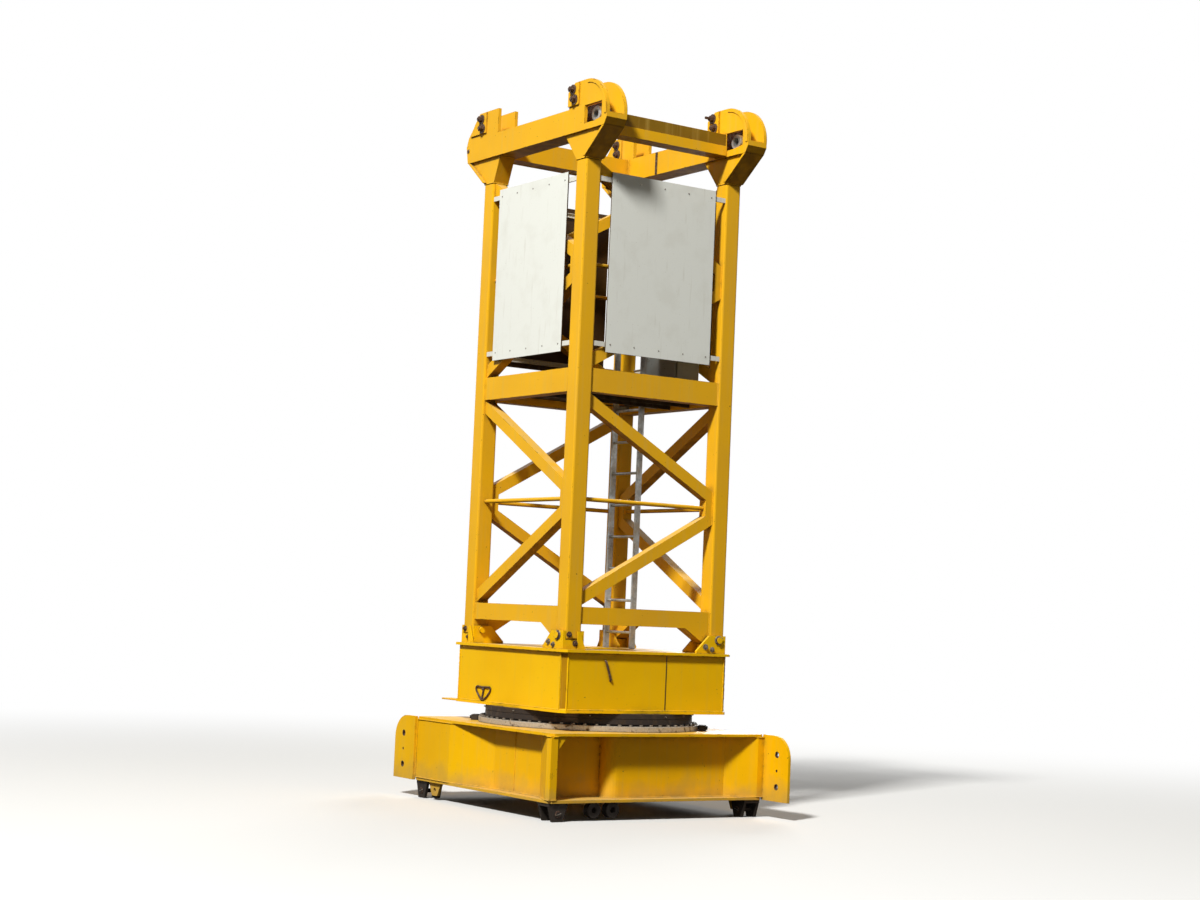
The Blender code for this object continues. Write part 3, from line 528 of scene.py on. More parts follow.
@dataclass(frozen=True)
class WeatheredBoard:
    """Film-faced birch plywood: a smooth painted or resin face that keeps faint rain streaks."""

    name: str
    colour: str
    streak: str
    roughness: float
    amount: float
    edge_dirt_and_shade: str = "#6E5F45"
    gloss: float = 0.25

    def build(self) -> Material:
        """Lay the face, its streaks, and its darker corners of dirt and painted shade.

        Returns:
            The finished material.
        """
        canvas = Canvas(self.name, self.colour)
        run = canvas.patches(36.0, 4.0, 0.6, 0.78, 0.0, self.amount, (1.0, 1.0, 9.0))
        cloud = canvas.patches(170.0, 6.0, 0.52, 0.7, 0.0, 0.4 * self.amount)
        canvas.lay(canvas.together(run, cloud), self.streak)
        # Darker in the corners: dirt and painted shade.
        canvas.lay(canvas.corners(35.0, 0.775, 0.6), self.edge_dirt_and_shade)
        canvas.lay(canvas.patches(14.0, 3.0, 0.68, 0.74, 0.0, 0.5), self.streak)
        canvas.emboss(canvas.noise(12.0, 2.0), 0.05)
        canvas.shader.inputs["Specular IOR Level"].default_value = self.gloss
        return canvas.finished(roughness=canvas.graded((run, self.roughness, 0.75)))


@dataclass(frozen=True)
class DullRubber:
    """Black rubber and PVC: deep grey, matt, a little dusty."""

    name: str
    colour: str = "#1B1B1C"
    dust: str = "#6A6152"

    def build(self) -> Material:
        """Lay the rubber and its dust.

        Returns:
            The finished material.
        """
        canvas = Canvas(self.name, self.colour)
        dust = canvas.patches(35.0, 4.0, 0.45, 0.75)
        canvas.lay(canvas.graded((dust, 0.0, 0.35)), self.dust)
        return canvas.finished(roughness=canvas.graded((dust, 0.55, 0.85)))


def laid(finish: AgedEnamel | BareSteel | Galvanised | WeatheredBoard | DullRubber) -> Any:
    """A field that holds the finish's material, built when its owner is made."""
    return field(default_factory=finish.build)


@dataclass
class Finishes:
    """Every finish of the machine, built once."""

    # Yellow enamel, from the bright platform to the painted shade over the edge plates and cut corners.
    platform: Material = laid(AgedEnamel("platform_enamel", "#FFC803", "#FAC006", chips=0.4, streaks=0.12))
    # Darker enamel for the turntable's cut corners: painted shade with some grime.
    soiled: Material = laid(AgedEnamel("soiled_corner_enamel", "#B88404", "#9C6E0A", chips=0.8, streaks=0.3))
    # Darker enamel for the strip over the cross beams' edge plates: painted shade.
    painted_shade_enamel: Material = laid(AgedEnamel("grimy_beam_enamel", "#8F6B12", "#6F4F12", chips=0.8, streaks=0.3))
    lattice: Material = laid(AgedEnamel("lattice_enamel", "#F6B916", "#EDB226", chips=0.7, streaks=0.24))
    base: Material = laid(
        AgedEnamel("base_enamel", "#FEC204", "#F6B908", chips=0.6, streaks=0.18, soil_height=0.34)
    )
    # Bare steel: greased, with painted shade; worn bright, with a painted highlight; blackened, rusty and
    # plated.
    ring: Material = laid(BareSteel("greased_ring_steel", "#4A3B2C", "#2B1F14", 0.6, 0.38, 0.7, 110.0))
    track: Material = laid(BareSteel("worn_ring_steel", "#C2B8A6", "#8E7A63", 0.45, 0.45, 0.25, 45.0))
    feet: Material = laid(BareSteel("blackened_forging", "#3A332C", "#2C2117", 0.5, 0.55, 0.6, 35.0))
    pins: Material = laid(BareSteel("rusty_pin_steel", "#7D6A58", "#5A3520", 0.6, 0.5, 0.62, 14.0))
    bolts: Material = laid(BareSteel("zinc_plated_bolt", "#A39C90", "#5C4632", 0.8, 0.4, 0.4, 12.0))
    tread: Material = laid(BareSteel("deck_tread_steel", "#4B4239", "#2D241B", 0.55, 0.5, 0.5, 80.0))
    zinc: Material = laid(Galvanised("galvanised_tube"))
    # Boards with their rails, the cabinet and its seals.
    board: Material = laid(WeatheredBoard("painted_plywood_face", "#EDEEE4", "#C4BFAC", 0.7, 0.32))
    film: Material = laid(WeatheredBoard("plywood_resin_film", "#3F2C18", "#5D4731", 0.35, 0.5))
    rails: Material = laid(WeatheredBoard("white_rail_paint", "#E4E2D6", "#9A9080", 0.5, 0.5))
    cabinet: Material = laid(
        AgedEnamel("grey_cabinet_enamel", "#9EA19C", "#8F928C", dust="#B5AF9F", chips=0.3, streaks=0.3)
    )
    rubber: Material = laid(DullRubber("black_rubber"))


# --------------------------------------------------------------------------- shapes


def box_between(low: Point, high: Point, edge: float = 0.0) -> Shape:
    """A box between two corners with its edges taken off.

    Args:
        low: Lowest corner.
        high: Highest corner.
        edge: Width of the edge bevel.

    Returns:
        The box.
    """
    mesh = bmesh.new()
    size = Vector(high) - Vector(low)
    middle = (Vector(high) + Vector(low)) / 2.0
    bmesh.ops.create_cube(mesh, size=1.0, matrix=Matrix.Translation(middle) @ Matrix.Diagonal((*size, 1.0)))
    if edge > 0.0:
        bmesh.ops.bevel(mesh, geom=mesh.edges[:], offset=edge, segments=2, affect="EDGES", profile=0.5)
    return mesh


def flat_plate(outline: Sequence[Point], thickness: float, edge: float = 0.0) -> Shape:
    """A plate from an outline in XY, from Z = 0 up, with its rims bevelled.

    Args:
        outline: Corners in order.
        thickness: Height of the plate.
        edge: Width of the bevel on both rims.

    Returns:
        The plate.
    """
    mesh = bmesh.new()
    face = mesh.faces.new([mesh.verts.new((x, y, 0.0)) for x, y in outline])
    raised = bmesh.ops.extrude_face_region(mesh, geom=[face])
    moved = [item for item in raised["geom"] if isinstance(item, bmesh.types.BMVert)]
    bmesh.ops.translate(mesh, verts=moved, vec=(0.0, 0.0, thickness))
    bmesh.ops.recalc_face_normals(mesh, faces=mesh.faces[:])
    if edge > 0.0:
        rims = [e for e in mesh.edges if abs(e.verts[0].co.z - e.verts[1].co.z) < 1e-6]
        bmesh.ops.bevel(mesh, geom=rims, offset=edge, segments=2, affect="EDGES", profile=0.5)
    return mesh


def moved(mesh: Shape, matrix: Matrix) -> Shape:
    """Move or turn a whole shape, and return it."""
    bmesh.ops.transform(mesh, matrix=matrix, verts=mesh.verts[:])
    return mesh


def shifted(mesh: Shape, x: float, y: float, z: float) -> Shape:
    """Shift a whole shape, and return it."""
    bmesh.ops.translate(mesh, verts=mesh.verts[:], vec=(x, y, z))
    return mesh


def standing(mesh: Shape, face_y: float) -> Shape:
    """Stand a plate up so that its outline lies in XZ and its thickness runs back from face_y."""
    moved(mesh, Matrix.Rotation(QUARTER_TURN, 4, "X"))
    return shifted(mesh, 0.0, face_y - min(v.co.y for v in mesh.verts), 0.0)


def arc(centre: Point, radius: float, start: float, end: float, steps: int) -> list[tuple[float, float]]:
    """Points of an arc between two angles in degrees."""
    angles = [math.radians(start + (end - start) * i / steps) for i in range(steps + 1)]
    return [(centre[0] + radius * math.cos(a), centre[1] + radius * math.sin(a)) for a in angles]


def rod(start: Point, end: Point, radius: float, segments: int = 14) -> Shape:
    """A round bar between two points with its rims taken off.

    Args:
        start: Middle of one end.
        end: Middle of the other end.
        radius: Radius of the bar.
        segments: Sides of the bar.

    Returns:
        The bar.
    """
    mesh = bmesh.new()
    way = Vector(end) - Vector(start)
    turn = way.to_track_quat("Z", "Y").to_matrix().to_4x4()
    place = Matrix.Translation((Vector(start) + Vector(end)) / 2.0) @ turn
    bmesh.ops.create_cone(
        mesh, cap_ends=True, segments=segments, radius1=radius, radius2=radius, depth=way.length, matrix=place
    )
    rims = [e for e in mesh.edges if any(len(f.verts) > 4 for f in e.link_faces)]
    bmesh.ops.bevel(mesh, geom=rims, offset=min(radius * 0.15, 0.003), segments=1, affect="EDGES")
    return mesh


def turned_ring(profile: Sequence[Point], segments: int = 128) -> Shape:
    """A ring about Z from a closed outline of radius and height.

    Args:
        profile: Corners of the cross-section.
        segments: Steps round the axis.

    Returns:
        The ring.
    """
    mesh = bmesh.new()
    loops = []
    for step in range(segments):
        angle = 2.0 * math.pi * step / segments
        turn = (math.cos(angle), math.sin(angle))
        loops.append([mesh.verts.new((r * turn[0], r * turn[1], z)) for r, z in profile])
    count = len(profile)
    for here, there in zip(loops, loops[1:] + loops[:1]):
        for i in range(count):
            j = (i + 1) % count
            mesh.faces.new((here[i], there[i], there[j], here[j]))
    bmesh.ops.recalc_face_normals(mesh, faces=mesh.faces[:])
    return mesh


def bushing(profile: Sequence[Point], place: Point, segments: int = 24) -> Shape:
    """A turned ring that lies on its side, with its profile's heights running to the front."""
    ring = moved(turned_ring(profile, segments), Matrix.Rotation(QUARTER_TURN, 4, "X"))
    return shifted(ring, *place)


def tube_along(points: Sequence[Point], radius: float, segments: int = 8) -> Shape:
    """A closed round tube along a line of points.

    Args:
        points: The centre line.
        radius: Radius of the tube.
        segments: Sides of the tube.

    Returns:
        The tube.
    """
    mesh = bmesh.new()
    line = [Vector(p) for p in points]
    side = Vector((0.0, 0.0, 1.0))
    loops = []
    for i, here in enumerate(line):
        way = (line[min(i + 1, len(line) - 1)] - line[max(i - 1, 0)]).normalized()
        across = way.cross(side)
        if across.length < 0.05:
            across = way.cross(Vector((1.0, 0.0, 0.0)))
        across.normalize()
        up = across.cross(way).normalized()
        side = up
        angles = [2.0 * math.pi * k / segments for k in range(segments)]
        spokes = [math.cos(a) * across + math.sin(a) * up for a in angles]
        loops.append([mesh.verts.new(here + radius * spoke) for spoke in spokes])
    for here, there in zip(loops, loops[1:]):
        for k in range(segments):
            n = (k + 1) % segments
            mesh.faces.new((here[k], here[n], there[n], there[k]))
    mesh.faces.new(loops[0])
    mesh.faces.new(loops[-1])
    bmesh.ops.recalc_face_normals(mesh, faces=mesh.faces[:])
    return mesh


def quarter(turns: int) -> Matrix:
    """The turn about the slewing axis that brings the front side to another."""
    return Matrix.Rotation(turns * QUARTER_TURN, 4, "Z")


class Bench:
    """Gathers shapes into one piece and hands it over with its finishes and body."""

    def __init__(self) -> None:
        """Start with nothing on the bench."""
        self.mesh = bmesh.new()
        self.materials: list[Material] = []

    def add(
        self,
        shape: Shape,
        finish: Material,
        turns: Iterable[int] = (0,),
        front_finish: Material | None = None,
    ) -> None:
        """Put a shape on the piece, once for each quarter turn.

        Args:
            shape: The shape, which is used up.
            finish: Its material.
            turns: Quarter turns about the slewing axis.
            front_finish: A second material for the faces that look to the front.
        """
        for material in (finish, front_finish):
            if material is not None and material not in self.materials:
                self.materials.append(material)
        shape.normal_update()
        for face in shape.faces:
            is_front = front_finish is not None and face.normal.y < -0.5
            face.material_index = self.materials.index(front_finish if is_front else finish)
        data = bpy.data.meshes.new("shape")
        shape.to_mesh(data)
        shape.free()
        for turn in turns:
            copy = data.copy()
            copy.transform(quarter(turn))
            self.mesh.from_mesh(copy)
            bpy.data.meshes.remove(copy)
        bpy.data.meshes.remove(data)

    def hand_over(
        self, name: str, body: Body, stands_for: Sequence[str] = (), turns: int = 0
    ) -> bpy.types.Object:
        """Make the piece and let it ride.

        Args:
            name: The piece's name.
            body: The body that it moves with.
            stands_for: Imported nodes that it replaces.
            turns: Quarter turns about the slewing axis.

        Returns:
            The finished object.
        """
        rounded = []
        for face in self.mesh.faces:
            beside = (other for edge in face.edges for other in edge.link_faces if other is not face)
            rounded.append(face.calc_area() < FLAT_SHARE * max(other.calc_area() for other in beside))
        data = bpy.data.meshes.new(name)
        self.mesh.to_mesh(data)
        self.mesh.free()
        data.transform(quarter(turns))
        for material in self.materials:
            data.materials.append(material)
        data.set_sharp_from_angle(angle=CREASE)
        data.polygons.foreach_set("use_smooth", rounded)
        return place_piece(name, data, body, stands_for)


def place_piece(
    name: str, data: bpy.types.Mesh, body: Body, stands_for: Sequence[str] = ()
) -> bpy.types.Object:
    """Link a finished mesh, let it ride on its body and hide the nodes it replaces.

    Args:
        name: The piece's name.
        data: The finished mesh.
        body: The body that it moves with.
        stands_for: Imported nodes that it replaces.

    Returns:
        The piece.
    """
    piece = bpy.data.objects.new(name, data)
    bpy.context.scene.collection.objects.link(piece)
    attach(piece, body.value)
    if stands_for:
        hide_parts(*stands_for)
    LOG.info("%s: %d faces on %s", name, len(data.polygons), body.value)
    return piece


# --------------------------------------------------------------------------- repeated things


@dataclass
class NodeRecipe:
    """A Geometry Nodes tree with named inputs, and what is needed to run it once."""

    name: str
    tree: bpy.types.NodeTree = field(init=False)
    sockets: dict[str, str] = field(init=False, default_factory=dict)

    def __post_init__(self) -> None:
        """Start the tree with its geometry sockets."""
        self.tree = bpy.data.node_groups.new(self.name, "GeometryNodeTree")
        self.tree.interface.new_socket(name="Geometry", in_out="INPUT", socket_type="NodeSocketGeometry")
        self.tree.interface.new_socket(name="Geometry", in_out="OUTPUT", socket_type="NodeSocketGeometry")

    def declare(self, kind: str, *names: str) -> None:
        """Add named inputs.

        Args:
            kind: Their socket type.
            names: The name of each.
        """
        for name in names:
            item = self.tree.interface.new_socket(name=name, in_out="INPUT", socket_type=kind)
            self.sockets[name] = item.identifier

    def stack(self, parts: Iterable[tuple[int, float, float, float]]) -> Any:
        """Join cylinders that stand over one another.

        Args:
            parts: Sides, radius, depth and the foot's height of each.

        Returns:
            The joined shape's output socket.
        """
        joined = self.tree.nodes.new("GeometryNodeJoinGeometry")
        for sides, radius, depth, low in parts:
            raw = add_node(
                self.tree, "GeometryNodeMeshCylinder", {"fill_type": "NGON"},
                {"Vertices": sides, "Side Segments": 1, "Radius": radius, "Depth": depth},
            )
            move = {0: raw.outputs[0], "Translation": (0.0, 0.0, low + depth / 2.0)}
            part = add_node(self.tree, "GeometryNodeTransform", None, move)
            self.tree.links.new(part.outputs[0], joined.inputs[0])
        return joined.outputs[0]

    def end(self, made: bpy.types.Node, finish: bpy.types.NodeSocket) -> None:
        """Make instances real, give them their finish and hand them out.

        Args:
            made: The node that makes them.
            finish: The input that holds their material.
        """
        real = add_node(self.tree, "GeometryNodeRealizeInstances", None, {0: made.outputs[0]})
        done = add_node(self.tree, "GeometryNodeSetMaterial", None, {0: real.outputs[0], 2: finish})
        add_node(self.tree, "NodeGroupOutput", None, {0: done.outputs[0]})

    def run(self, carrier: bpy.types.Mesh, values: dict[str, Any]) -> bpy.types.Mesh:
        """Run the tree on a mesh and return the plain result.

        Args:
            carrier: The mesh that carries the points or paths.
            values: A value for each named input.

        Returns:
            The new mesh.
        """
        item = bpy.data.objects.new(self.name + "_carrier", carrier)
        bpy.context.scene.collection.objects.link(item)
        modifier = item.modifiers.new(self.name, "NODES")
        modifier.node_group = self.tree
        for name, value in values.items():
            modifier[self.sockets[name]] = value
        graph = bpy.context.evaluated_depsgraph_get()
        made = bpy.data.meshes.new_from_object(item.evaluated_get(graph))
        item.modifiers.remove(modifier)
        bpy.data.objects.remove(item, do_unlink=True)
        return made


class WeldTree(NodeRecipe):
    """Lays a rippled fillet bead along every edge of the carrier."""

    def __post_init__(self) -> None:
        """Build the tree: paths, even steps, a swelling profile and the finish."""
        super().__post_init__()
        self.declare("NodeSocketFloat", "Bead Radius", "Ripple Length")
        self.declare("NodeSocketMaterial", "Finish")
        tree = self.tree
        source = tree.nodes.new("NodeGroupInput").outputs
        path = add_node(tree, "GeometryNodeMeshToCurve", None, {0: source["Geometry"]})
        steps = add_node(
            tree, "GeometryNodeResampleCurve", {"mode": "LENGTH"},
            {"Curve": path.outputs[0], "Length": source["Ripple Length"]},
        )
        swell = add_node(
            tree, "FunctionNodeRandomValue", {"data_type": "FLOAT"},
            {2: THINNEST, 3: THICKEST, "Seed": SWELL_SEED},
        )
        profile = add_node(
            tree, "GeometryNodeCurvePrimitiveCircle", {"mode": "RADIUS"},
            {"Resolution": 6, "Radius": source["Bead Radius"]},
        )
        bead = add_node(
            tree, "GeometryNodeCurveToMesh", None,
            {0: steps.outputs[0], 1: profile.outputs[0], 2: swell.outputs[1], 3: True},
        )
        self.end(bead, source["Finish"])


class StampTree(NodeRecipe):
    """Puts one small shape on every point of the carrier, along its facing and with its size."""

    def __init__(self, stamp: Stamp) -> None:
        """Remember which shape it stamps."""
        self.stamp = stamp
        super().__init__("stamp_" + stamp.value)

    def __post_init__(self) -> None:
        """Build the tree: shape, turn to the facing, a twist about it, size and finish."""
        super().__post_init__()
        self.declare("NodeSocketFloat", "Twist")
        self.declare("NodeSocketInt", "Seed")
        self.declare("NodeSocketMaterial", "Finish")
        tree = self.tree
        source = tree.nodes.new("NodeGroupInput").outputs
        facing, size, spin = (
            add_node(tree, "GeometryNodeInputNamedAttribute", {"data_type": kind}, {0: name}).outputs[0]
            for name, kind in POINT_NOTES
        )
        aimed = add_node(tree, "FunctionNodeAlignRotationToVector", {"axis": "Z"}, {2: facing})
        loose = add_node(
            tree, "FunctionNodeRandomValue", {"data_type": "FLOAT"},
            {2: 0.0, 3: source["Twist"], "Seed": source["Seed"]},
        )
        angle = add_node(tree, "ShaderNodeMath", {"operation": "ADD"}, {0: loose.outputs[1], 1: spin})
        twist = add_node(
            tree, "FunctionNodeAxisAngleToRotation", None, {0: (0.0, 0.0, 1.0), 1: angle.outputs[0]}
        )
        turned = add_node(
            tree, "FunctionNodeRotateRotation", {"rotation_space": "LOCAL"},
            {0: aimed.outputs[0], 1: twist.outputs[0]},
        )
        placed = add_node(
            tree, "GeometryNodeInstanceOnPoints", None,
            {0: source["Geometry"], 2: self.shape(), "Rotation": turned.outputs[0], "Scale": size},
        )
        self.end(placed, source["Finish"])

    def shape(self) -> Any:
        """The stamped shape at unit size: a bolt one unit across its flats, and so on.

        Returns:
            The shape's output socket.
        """
        washer, head, thread = (14, 0.94, 0.14, 0.0), (6, 0.577, 0.62, 0.14), (10, 0.32, 0.2, 0.76)
        parts = {
            Stamp.HEX_BOLT: (washer, head, thread),
            Stamp.SCREW: ((12, 0.5, 0.16, 0.0), (12, 0.36, 0.1, 0.16)),
            Stamp.TREAD_BAR: ((6, 0.5, 0.7, 0.0), (6, 0.36, 0.3, 0.7)),
        }
        return self.stack(parts[self.stamp])


class RingTree(NodeRecipe):
    """Stands a ring of hexagon bolts on a circle about the slewing axis."""

    def __post_init__(self) -> None:
        """Build the tree: the circle, a bolt, a random twist and the finish."""
        super().__post_init__()
        self.declare("NodeSocketFloat", "Ring Radius", "Height", "Bolt Size")
        self.declare("NodeSocketInt", "Count", "Seed")
        self.declare("NodeSocketMaterial", "Finish")
        tree = self.tree
        source = tree.nodes.new("NodeGroupInput").outputs
        inputs = {0: source["Count"], 1: source["Ring Radius"]}
        circle = add_node(tree, "GeometryNodeMeshCircle", None, inputs)
        lift = add_node(tree, "ShaderNodeCombineXYZ", None, {2: source["Height"]})
        raised = add_node(
            tree, "GeometryNodeTransform", None, {0: circle.outputs[0], "Translation": lift.outputs[0]}
        )
        bolt = self.stack(((14, 0.86, 0.12, 0.0), (6, 0.577, 0.42, 0.12)))
        twist = add_node(
            tree, "FunctionNodeRandomValue", {"data_type": "FLOAT_VECTOR"},
            {0: (0.0, 0.0, 0.0), 1: (0.0, 0.0, math.pi), "Seed": source["Seed"]},
        )
        placed = add_node(
            tree, "GeometryNodeInstanceOnPoints", None,
            {0: raised.outputs[0], 2: bolt, "Rotation": twist.outputs[0], "Scale": source["Bolt Size"]},
        )
        self.end(placed, source["Finish"])


class Trees:
    """The Geometry Nodes trees, built once and shared by the sub-assemblies."""

    def __init__(self) -> None:
        """Build every tree."""
        self.weld = WeldTree("weld_bead")
        self.ring = RingTree("bolt_ring")
        self.stamps = {stamp: StampTree(stamp) for stamp in Stamp}


class Welds:
    """Collects weld lines of one body and lays them as one piece."""

    def __init__(self) -> None:
        """Start with no lines."""
        self.lines: list[list[Vector]] = []

    def run(self, points: Sequence[Point], closed: bool = False, turns: Iterable[int] = (0,)) -> None:
        """Note a weld line, once for each quarter turn.

        Args:
            points: Corners of the line.
            closed: Whether the last corner joins the first.
            turns: Quarter turns about the slewing axis.
        """
        line = [Vector(p) for p in points]
        if closed:
            line.append(line[0])
        for turn in turns:
            self.lines.append([quarter(turn) @ p for p in line])

    def upright(self, x: float, y: float, low: float, high: float, turns: Iterable[int]) -> None:
        """Note an upright weld between two heights, once for each quarter turn."""
        self.run([(x, y, low), (x, y, high)], False, turns)

    def frame(self, low: Point, high: Point, axis: int, turns: Iterable[int] = (0,)) -> None:
        """Note a rectangular weld round a tube's end, in the plane across one axis.

        Args:
            low: Lowest corner of the tube's end.
            high: Highest corner, with the same value along the axis.
            axis: The axis along the tube.
            turns: Quarter turns about the slewing axis.
        """
        first, second = [a for a in range(3) if a != axis]
        corners = []
        for f, s in ((0, 0), (1, 0), (1, 1), (0, 1)):
            corner = [0.0, 0.0, 0.0]
            corner[axis] = low[axis]
            corner[first] = (low, high)[f][first]
            corner[second] = (low, high)[s][second]
            corners.append(corner)
        self.run(corners, True, turns)

    def lay(self, name: str, tree: WeldTree, body: Body, radius: float, finish: Material) -> None:
        """Lay all the beads as one piece.

        Args:
            name: The piece's name.
            tree: The bead tree.
            body: The body that the beads ride on.
            radius: Radius of a bead.
            finish: The enamel over the bead.
        """
        carrier = bpy.data.meshes.new(name + "_paths")
        points = [p for line in self.lines for p in line]
        edges, start = [], 0
        for line in self.lines:
            edges += [(start + i, start + i + 1) for i in range(len(line) - 1)]
            start += len(line)
        carrier.from_pydata(points, edges, [])
        values = {"Bead Radius": radius, "Ripple Length": radius * RIPPLE, "Finish": finish}
        made = tree.run(carrier, values)
        made.shade_smooth()
        place_piece(name, made, body)


class Fasteners:
    """Collects the places of small stamped parts and sets them as one piece."""

    def __init__(self, stamp: Stamp, twist: float = math.pi) -> None:
        """Start with no places.

        Args:
            stamp: Which part is set.
            twist: Largest random turn about its own axis.
        """
        self.stamp = stamp
        self.twist = twist
        self.rows: list[tuple[Vector, Vector, Vector, float]] = []

    def put(
        self, place: Point, facing: Point, size: float | Point, turns: Iterable[int] = (0,), spin: float = 0.0
    ) -> None:
        """Note one part.

        Args:
            place: Where it sits.
            facing: The way its head looks.
            size: Its size across the flats, or along three axes.
            turns: Quarter turns about the slewing axis.
            spin: Its turn about its own axis.
        """
        scale = Vector((size, size, size)) if isinstance(size, float) else Vector(size)
        for turn in turns:
            matrix = quarter(turn)
            self.rows.append((matrix @ Vector(place), matrix @ Vector(facing), scale, spin))

    def set_in(self, name: str, trees: Trees, body: Body, finish: Material) -> None:
        """Set every part as one piece.

        Args:
            name: The piece's name.
            trees: Holds the stamping trees.
            body: The body that the parts ride on.
            finish: Their material.
        """
        carrier = bpy.data.meshes.new(name + "_points")
        carrier.from_pydata([row[0] for row in self.rows], [], [])
        for column, (label, kind) in enumerate(POINT_NOTES, start=1):
            layer = carrier.attributes.new(label, kind, "POINT")
            if kind == "FLOAT":
                layer.data.foreach_set("value", [row[column] for row in self.rows])
            else:
                layer.data.foreach_set("vector", [x for row in self.rows for x in row[column]])
        values = {"Twist": self.twist, "Seed": TWIST_SEED, "Finish": finish}
        made = trees.stamps[self.stamp].run(carrier, values)
        place_piece(name, made, body)


# --------------------------------------------------------------------------- sub-assemblies


def coat(finish: Material, *nodes: str) -> None:
    """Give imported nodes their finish.

    Args:
        finish: The material.
        nodes: Names of the nodes.
    """
    for node in nodes:
        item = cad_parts[node]
        if not item.material_slots:
            item.data.materials.append(finish)
        for slot in item.material_slots:
            slot.material = finish


@dataclass
class Assembly:
    """What every sub-assembly is dressed with."""

    finishes: Finishes
    trees: Trees


@dataclass
class BaseFrame(Assembly):
    """The fabricated base box: its beads, pocket gussets, hubs, end blocks, bushes and foot pins."""

    half: float = 1.090
    flange_half: float = 1.0647
    bottom: float = 0.146
    top: float = 0.689
    flange: float = 0.022
    web: float = 0.0183
    waist_depth: float = 0.120
    waist_start: float = 0.590
    waist_ramp: float = 0.540
    waist_return: float = 0.262
    waist_end_margin: float = 0.087
    pocket_edge: float = 0.045
    pocket_slant: float = 0.110
    pocket_length: float = 0.640
    pocket_depth: float = 0.260
    pocket_rounding: float = 0.100
    arm_reach: float = 0.300
    bead: float = 0.006
    seam_x: float = 0.352
    arm_edge: float = 0.041
    hub_places: tuple[float, float] = (-0.60, -0.42)
    hub_drop: float = 0.064
    pin_hole_x: float = 0.150
    pin_hole_rise: float = 0.133
    foot_line: float = 0.100
    block_turn: float = 0.08

    def web_line(self, pocket: bool) -> list[tuple[float, float]]:
        """Outer line of a web, as it would lie on the front side.

        Args:
            pocket: Whether the web has a deep pocket in place of a waist.

        Returns:
            The line's corners as (x, y).
        """
        left = -self.flange_half + self.web
        ramp_end = self.half - self.waist_end_margin
        if pocket:
            near = left + self.pocket_edge
            far = -self.flange_half + self.pocket_length
            centre = (far + self.pocket_rounding, self.waist_depth + self.pocket_rounding)
            marks = [
                (left, 0.0), (near, 0.0), (near + self.pocket_slant, self.pocket_depth),
                (far, self.pocket_depth), *arc(centre, self.pocket_rounding, 180, 270, 6),
            ]
        else:
            start = -self.half + self.waist_start
            marks = [(left, 0.0), (start, 0.0), (start + self.waist_ramp, self.waist_depth)]
        marks += [(ramp_end - self.waist_return, self.waist_depth), (ramp_end, 0.0), (self.flange_half, 0.0)]
        return [(x, -self.flange_half + back) for x, back in marks]

    def welds(self) -> None:
        """Fillet beads between the webs and both flanges, and down the arm plates."""
        welds = Welds()
        for pocket, turns in ((False, FRONT_AND_BACK), (True, RIGHT_AND_LEFT)):
            line = self.web_line(pocket)
            for height in (self.bottom + self.flange + 0.003, self.top - self.flange - 0.003):
                welds.run([(x, y - 0.002, height) for x, y in line], False, turns)
        seam_y = -self.flange_half + self.waist_depth - 0.002
        welds.upright(self.seam_x, seam_y, self.bottom + 0.03, self.top - 0.03, FRONT_AND_BACK)
        edge_x, edge_y = -self.half + self.arm_edge, -self.flange_half - 0.003
        welds.upright(edge_x, edge_y, self.bottom + 0.01, self.top - 0.01, FRONT_AND_BACK)
        welds.lay("base_weld_beads", self.trees.weld, Body.BASE, self.bead, self.finishes.base)

    def gussets(self) -> None:
        """Triangular gussets in the pockets' top corners, and forged hubs under the sides."""
        bench = Bench()
        plate = flat_plate([(0.0, 0.0), (0.085, 0.0), (0.0, -0.11)], 0.012, 0.001)
        standing(plate, -self.flange_half + 0.012)
        shifted(plate, -self.flange_half + 0.075, 0.0, self.top - self.flange)
        bench.add(plate, self.finishes.base, RIGHT_AND_LEFT)
        profile = [(0.024, -0.02), (0.058, -0.02), (0.062, -0.015), (0.062, 0.05), (0.024, 0.05)]
        for x in self.hub_places:
            hub = bushing(profile, (x, -self.flange_half + 0.10, self.bottom - self.hub_drop))
            bench.add(hub, self.finishes.feet, RIGHT_AND_LEFT)
        bench.hand_over("base_gussets", Body.BASE)

    def end_blocks(self) -> None:
        """Stepped blocks on the top flange, beside the slewing ring at two opposite corners."""
        bench = Bench()
        foot = ((-0.070, 0.940, 0.0), (0.070, 1.000, 0.046))
        step = ((-0.045, 1.000, 0.010), (0.045, 1.016, 0.038))
        turn = Matrix.Rotation(-QUARTER_TURN / 2.0 + self.block_turn, 4, "Z")
        place = Matrix.Rotation(math.pi, 4, "Z") @ turn @ Matrix.Translation((0.0, 0.0, self.top + SEAT))
        for low, high in (foot, step):
            bench.add(moved(box_between(low, high, 0.003), place), self.finishes.feet, FRONT_AND_BACK)
        bench.hand_over("ring_end_blocks", Body.BASE)

    def bushes(self) -> None:
        """Steel bushes in the arm plates' pin holes."""
        bench = Bench()
        x = -self.half - self.arm_reach + self.pin_hole_x
        middle = self.bottom + (self.top - self.bottom) / 2.0 - 0.018
        rise, large, small = self.pin_hole_rise, (0.0268, 0.0205), (0.0118, 0.0085)
        for offset, (outer, inner) in ((rise, large), (-rise, large), (0.0, small)):
            profile = [(inner, 0.0), (outer, 0.0), (outer, 0.023), (inner, 0.023)]
            bush = bushing(profile, (x, -self.half + 0.024, middle + offset))
            bench.add(bush, self.finishes.pins, FRONT_AND_BACK)
        bench.hand_over("arm_plate_bushes", Body.BASE)

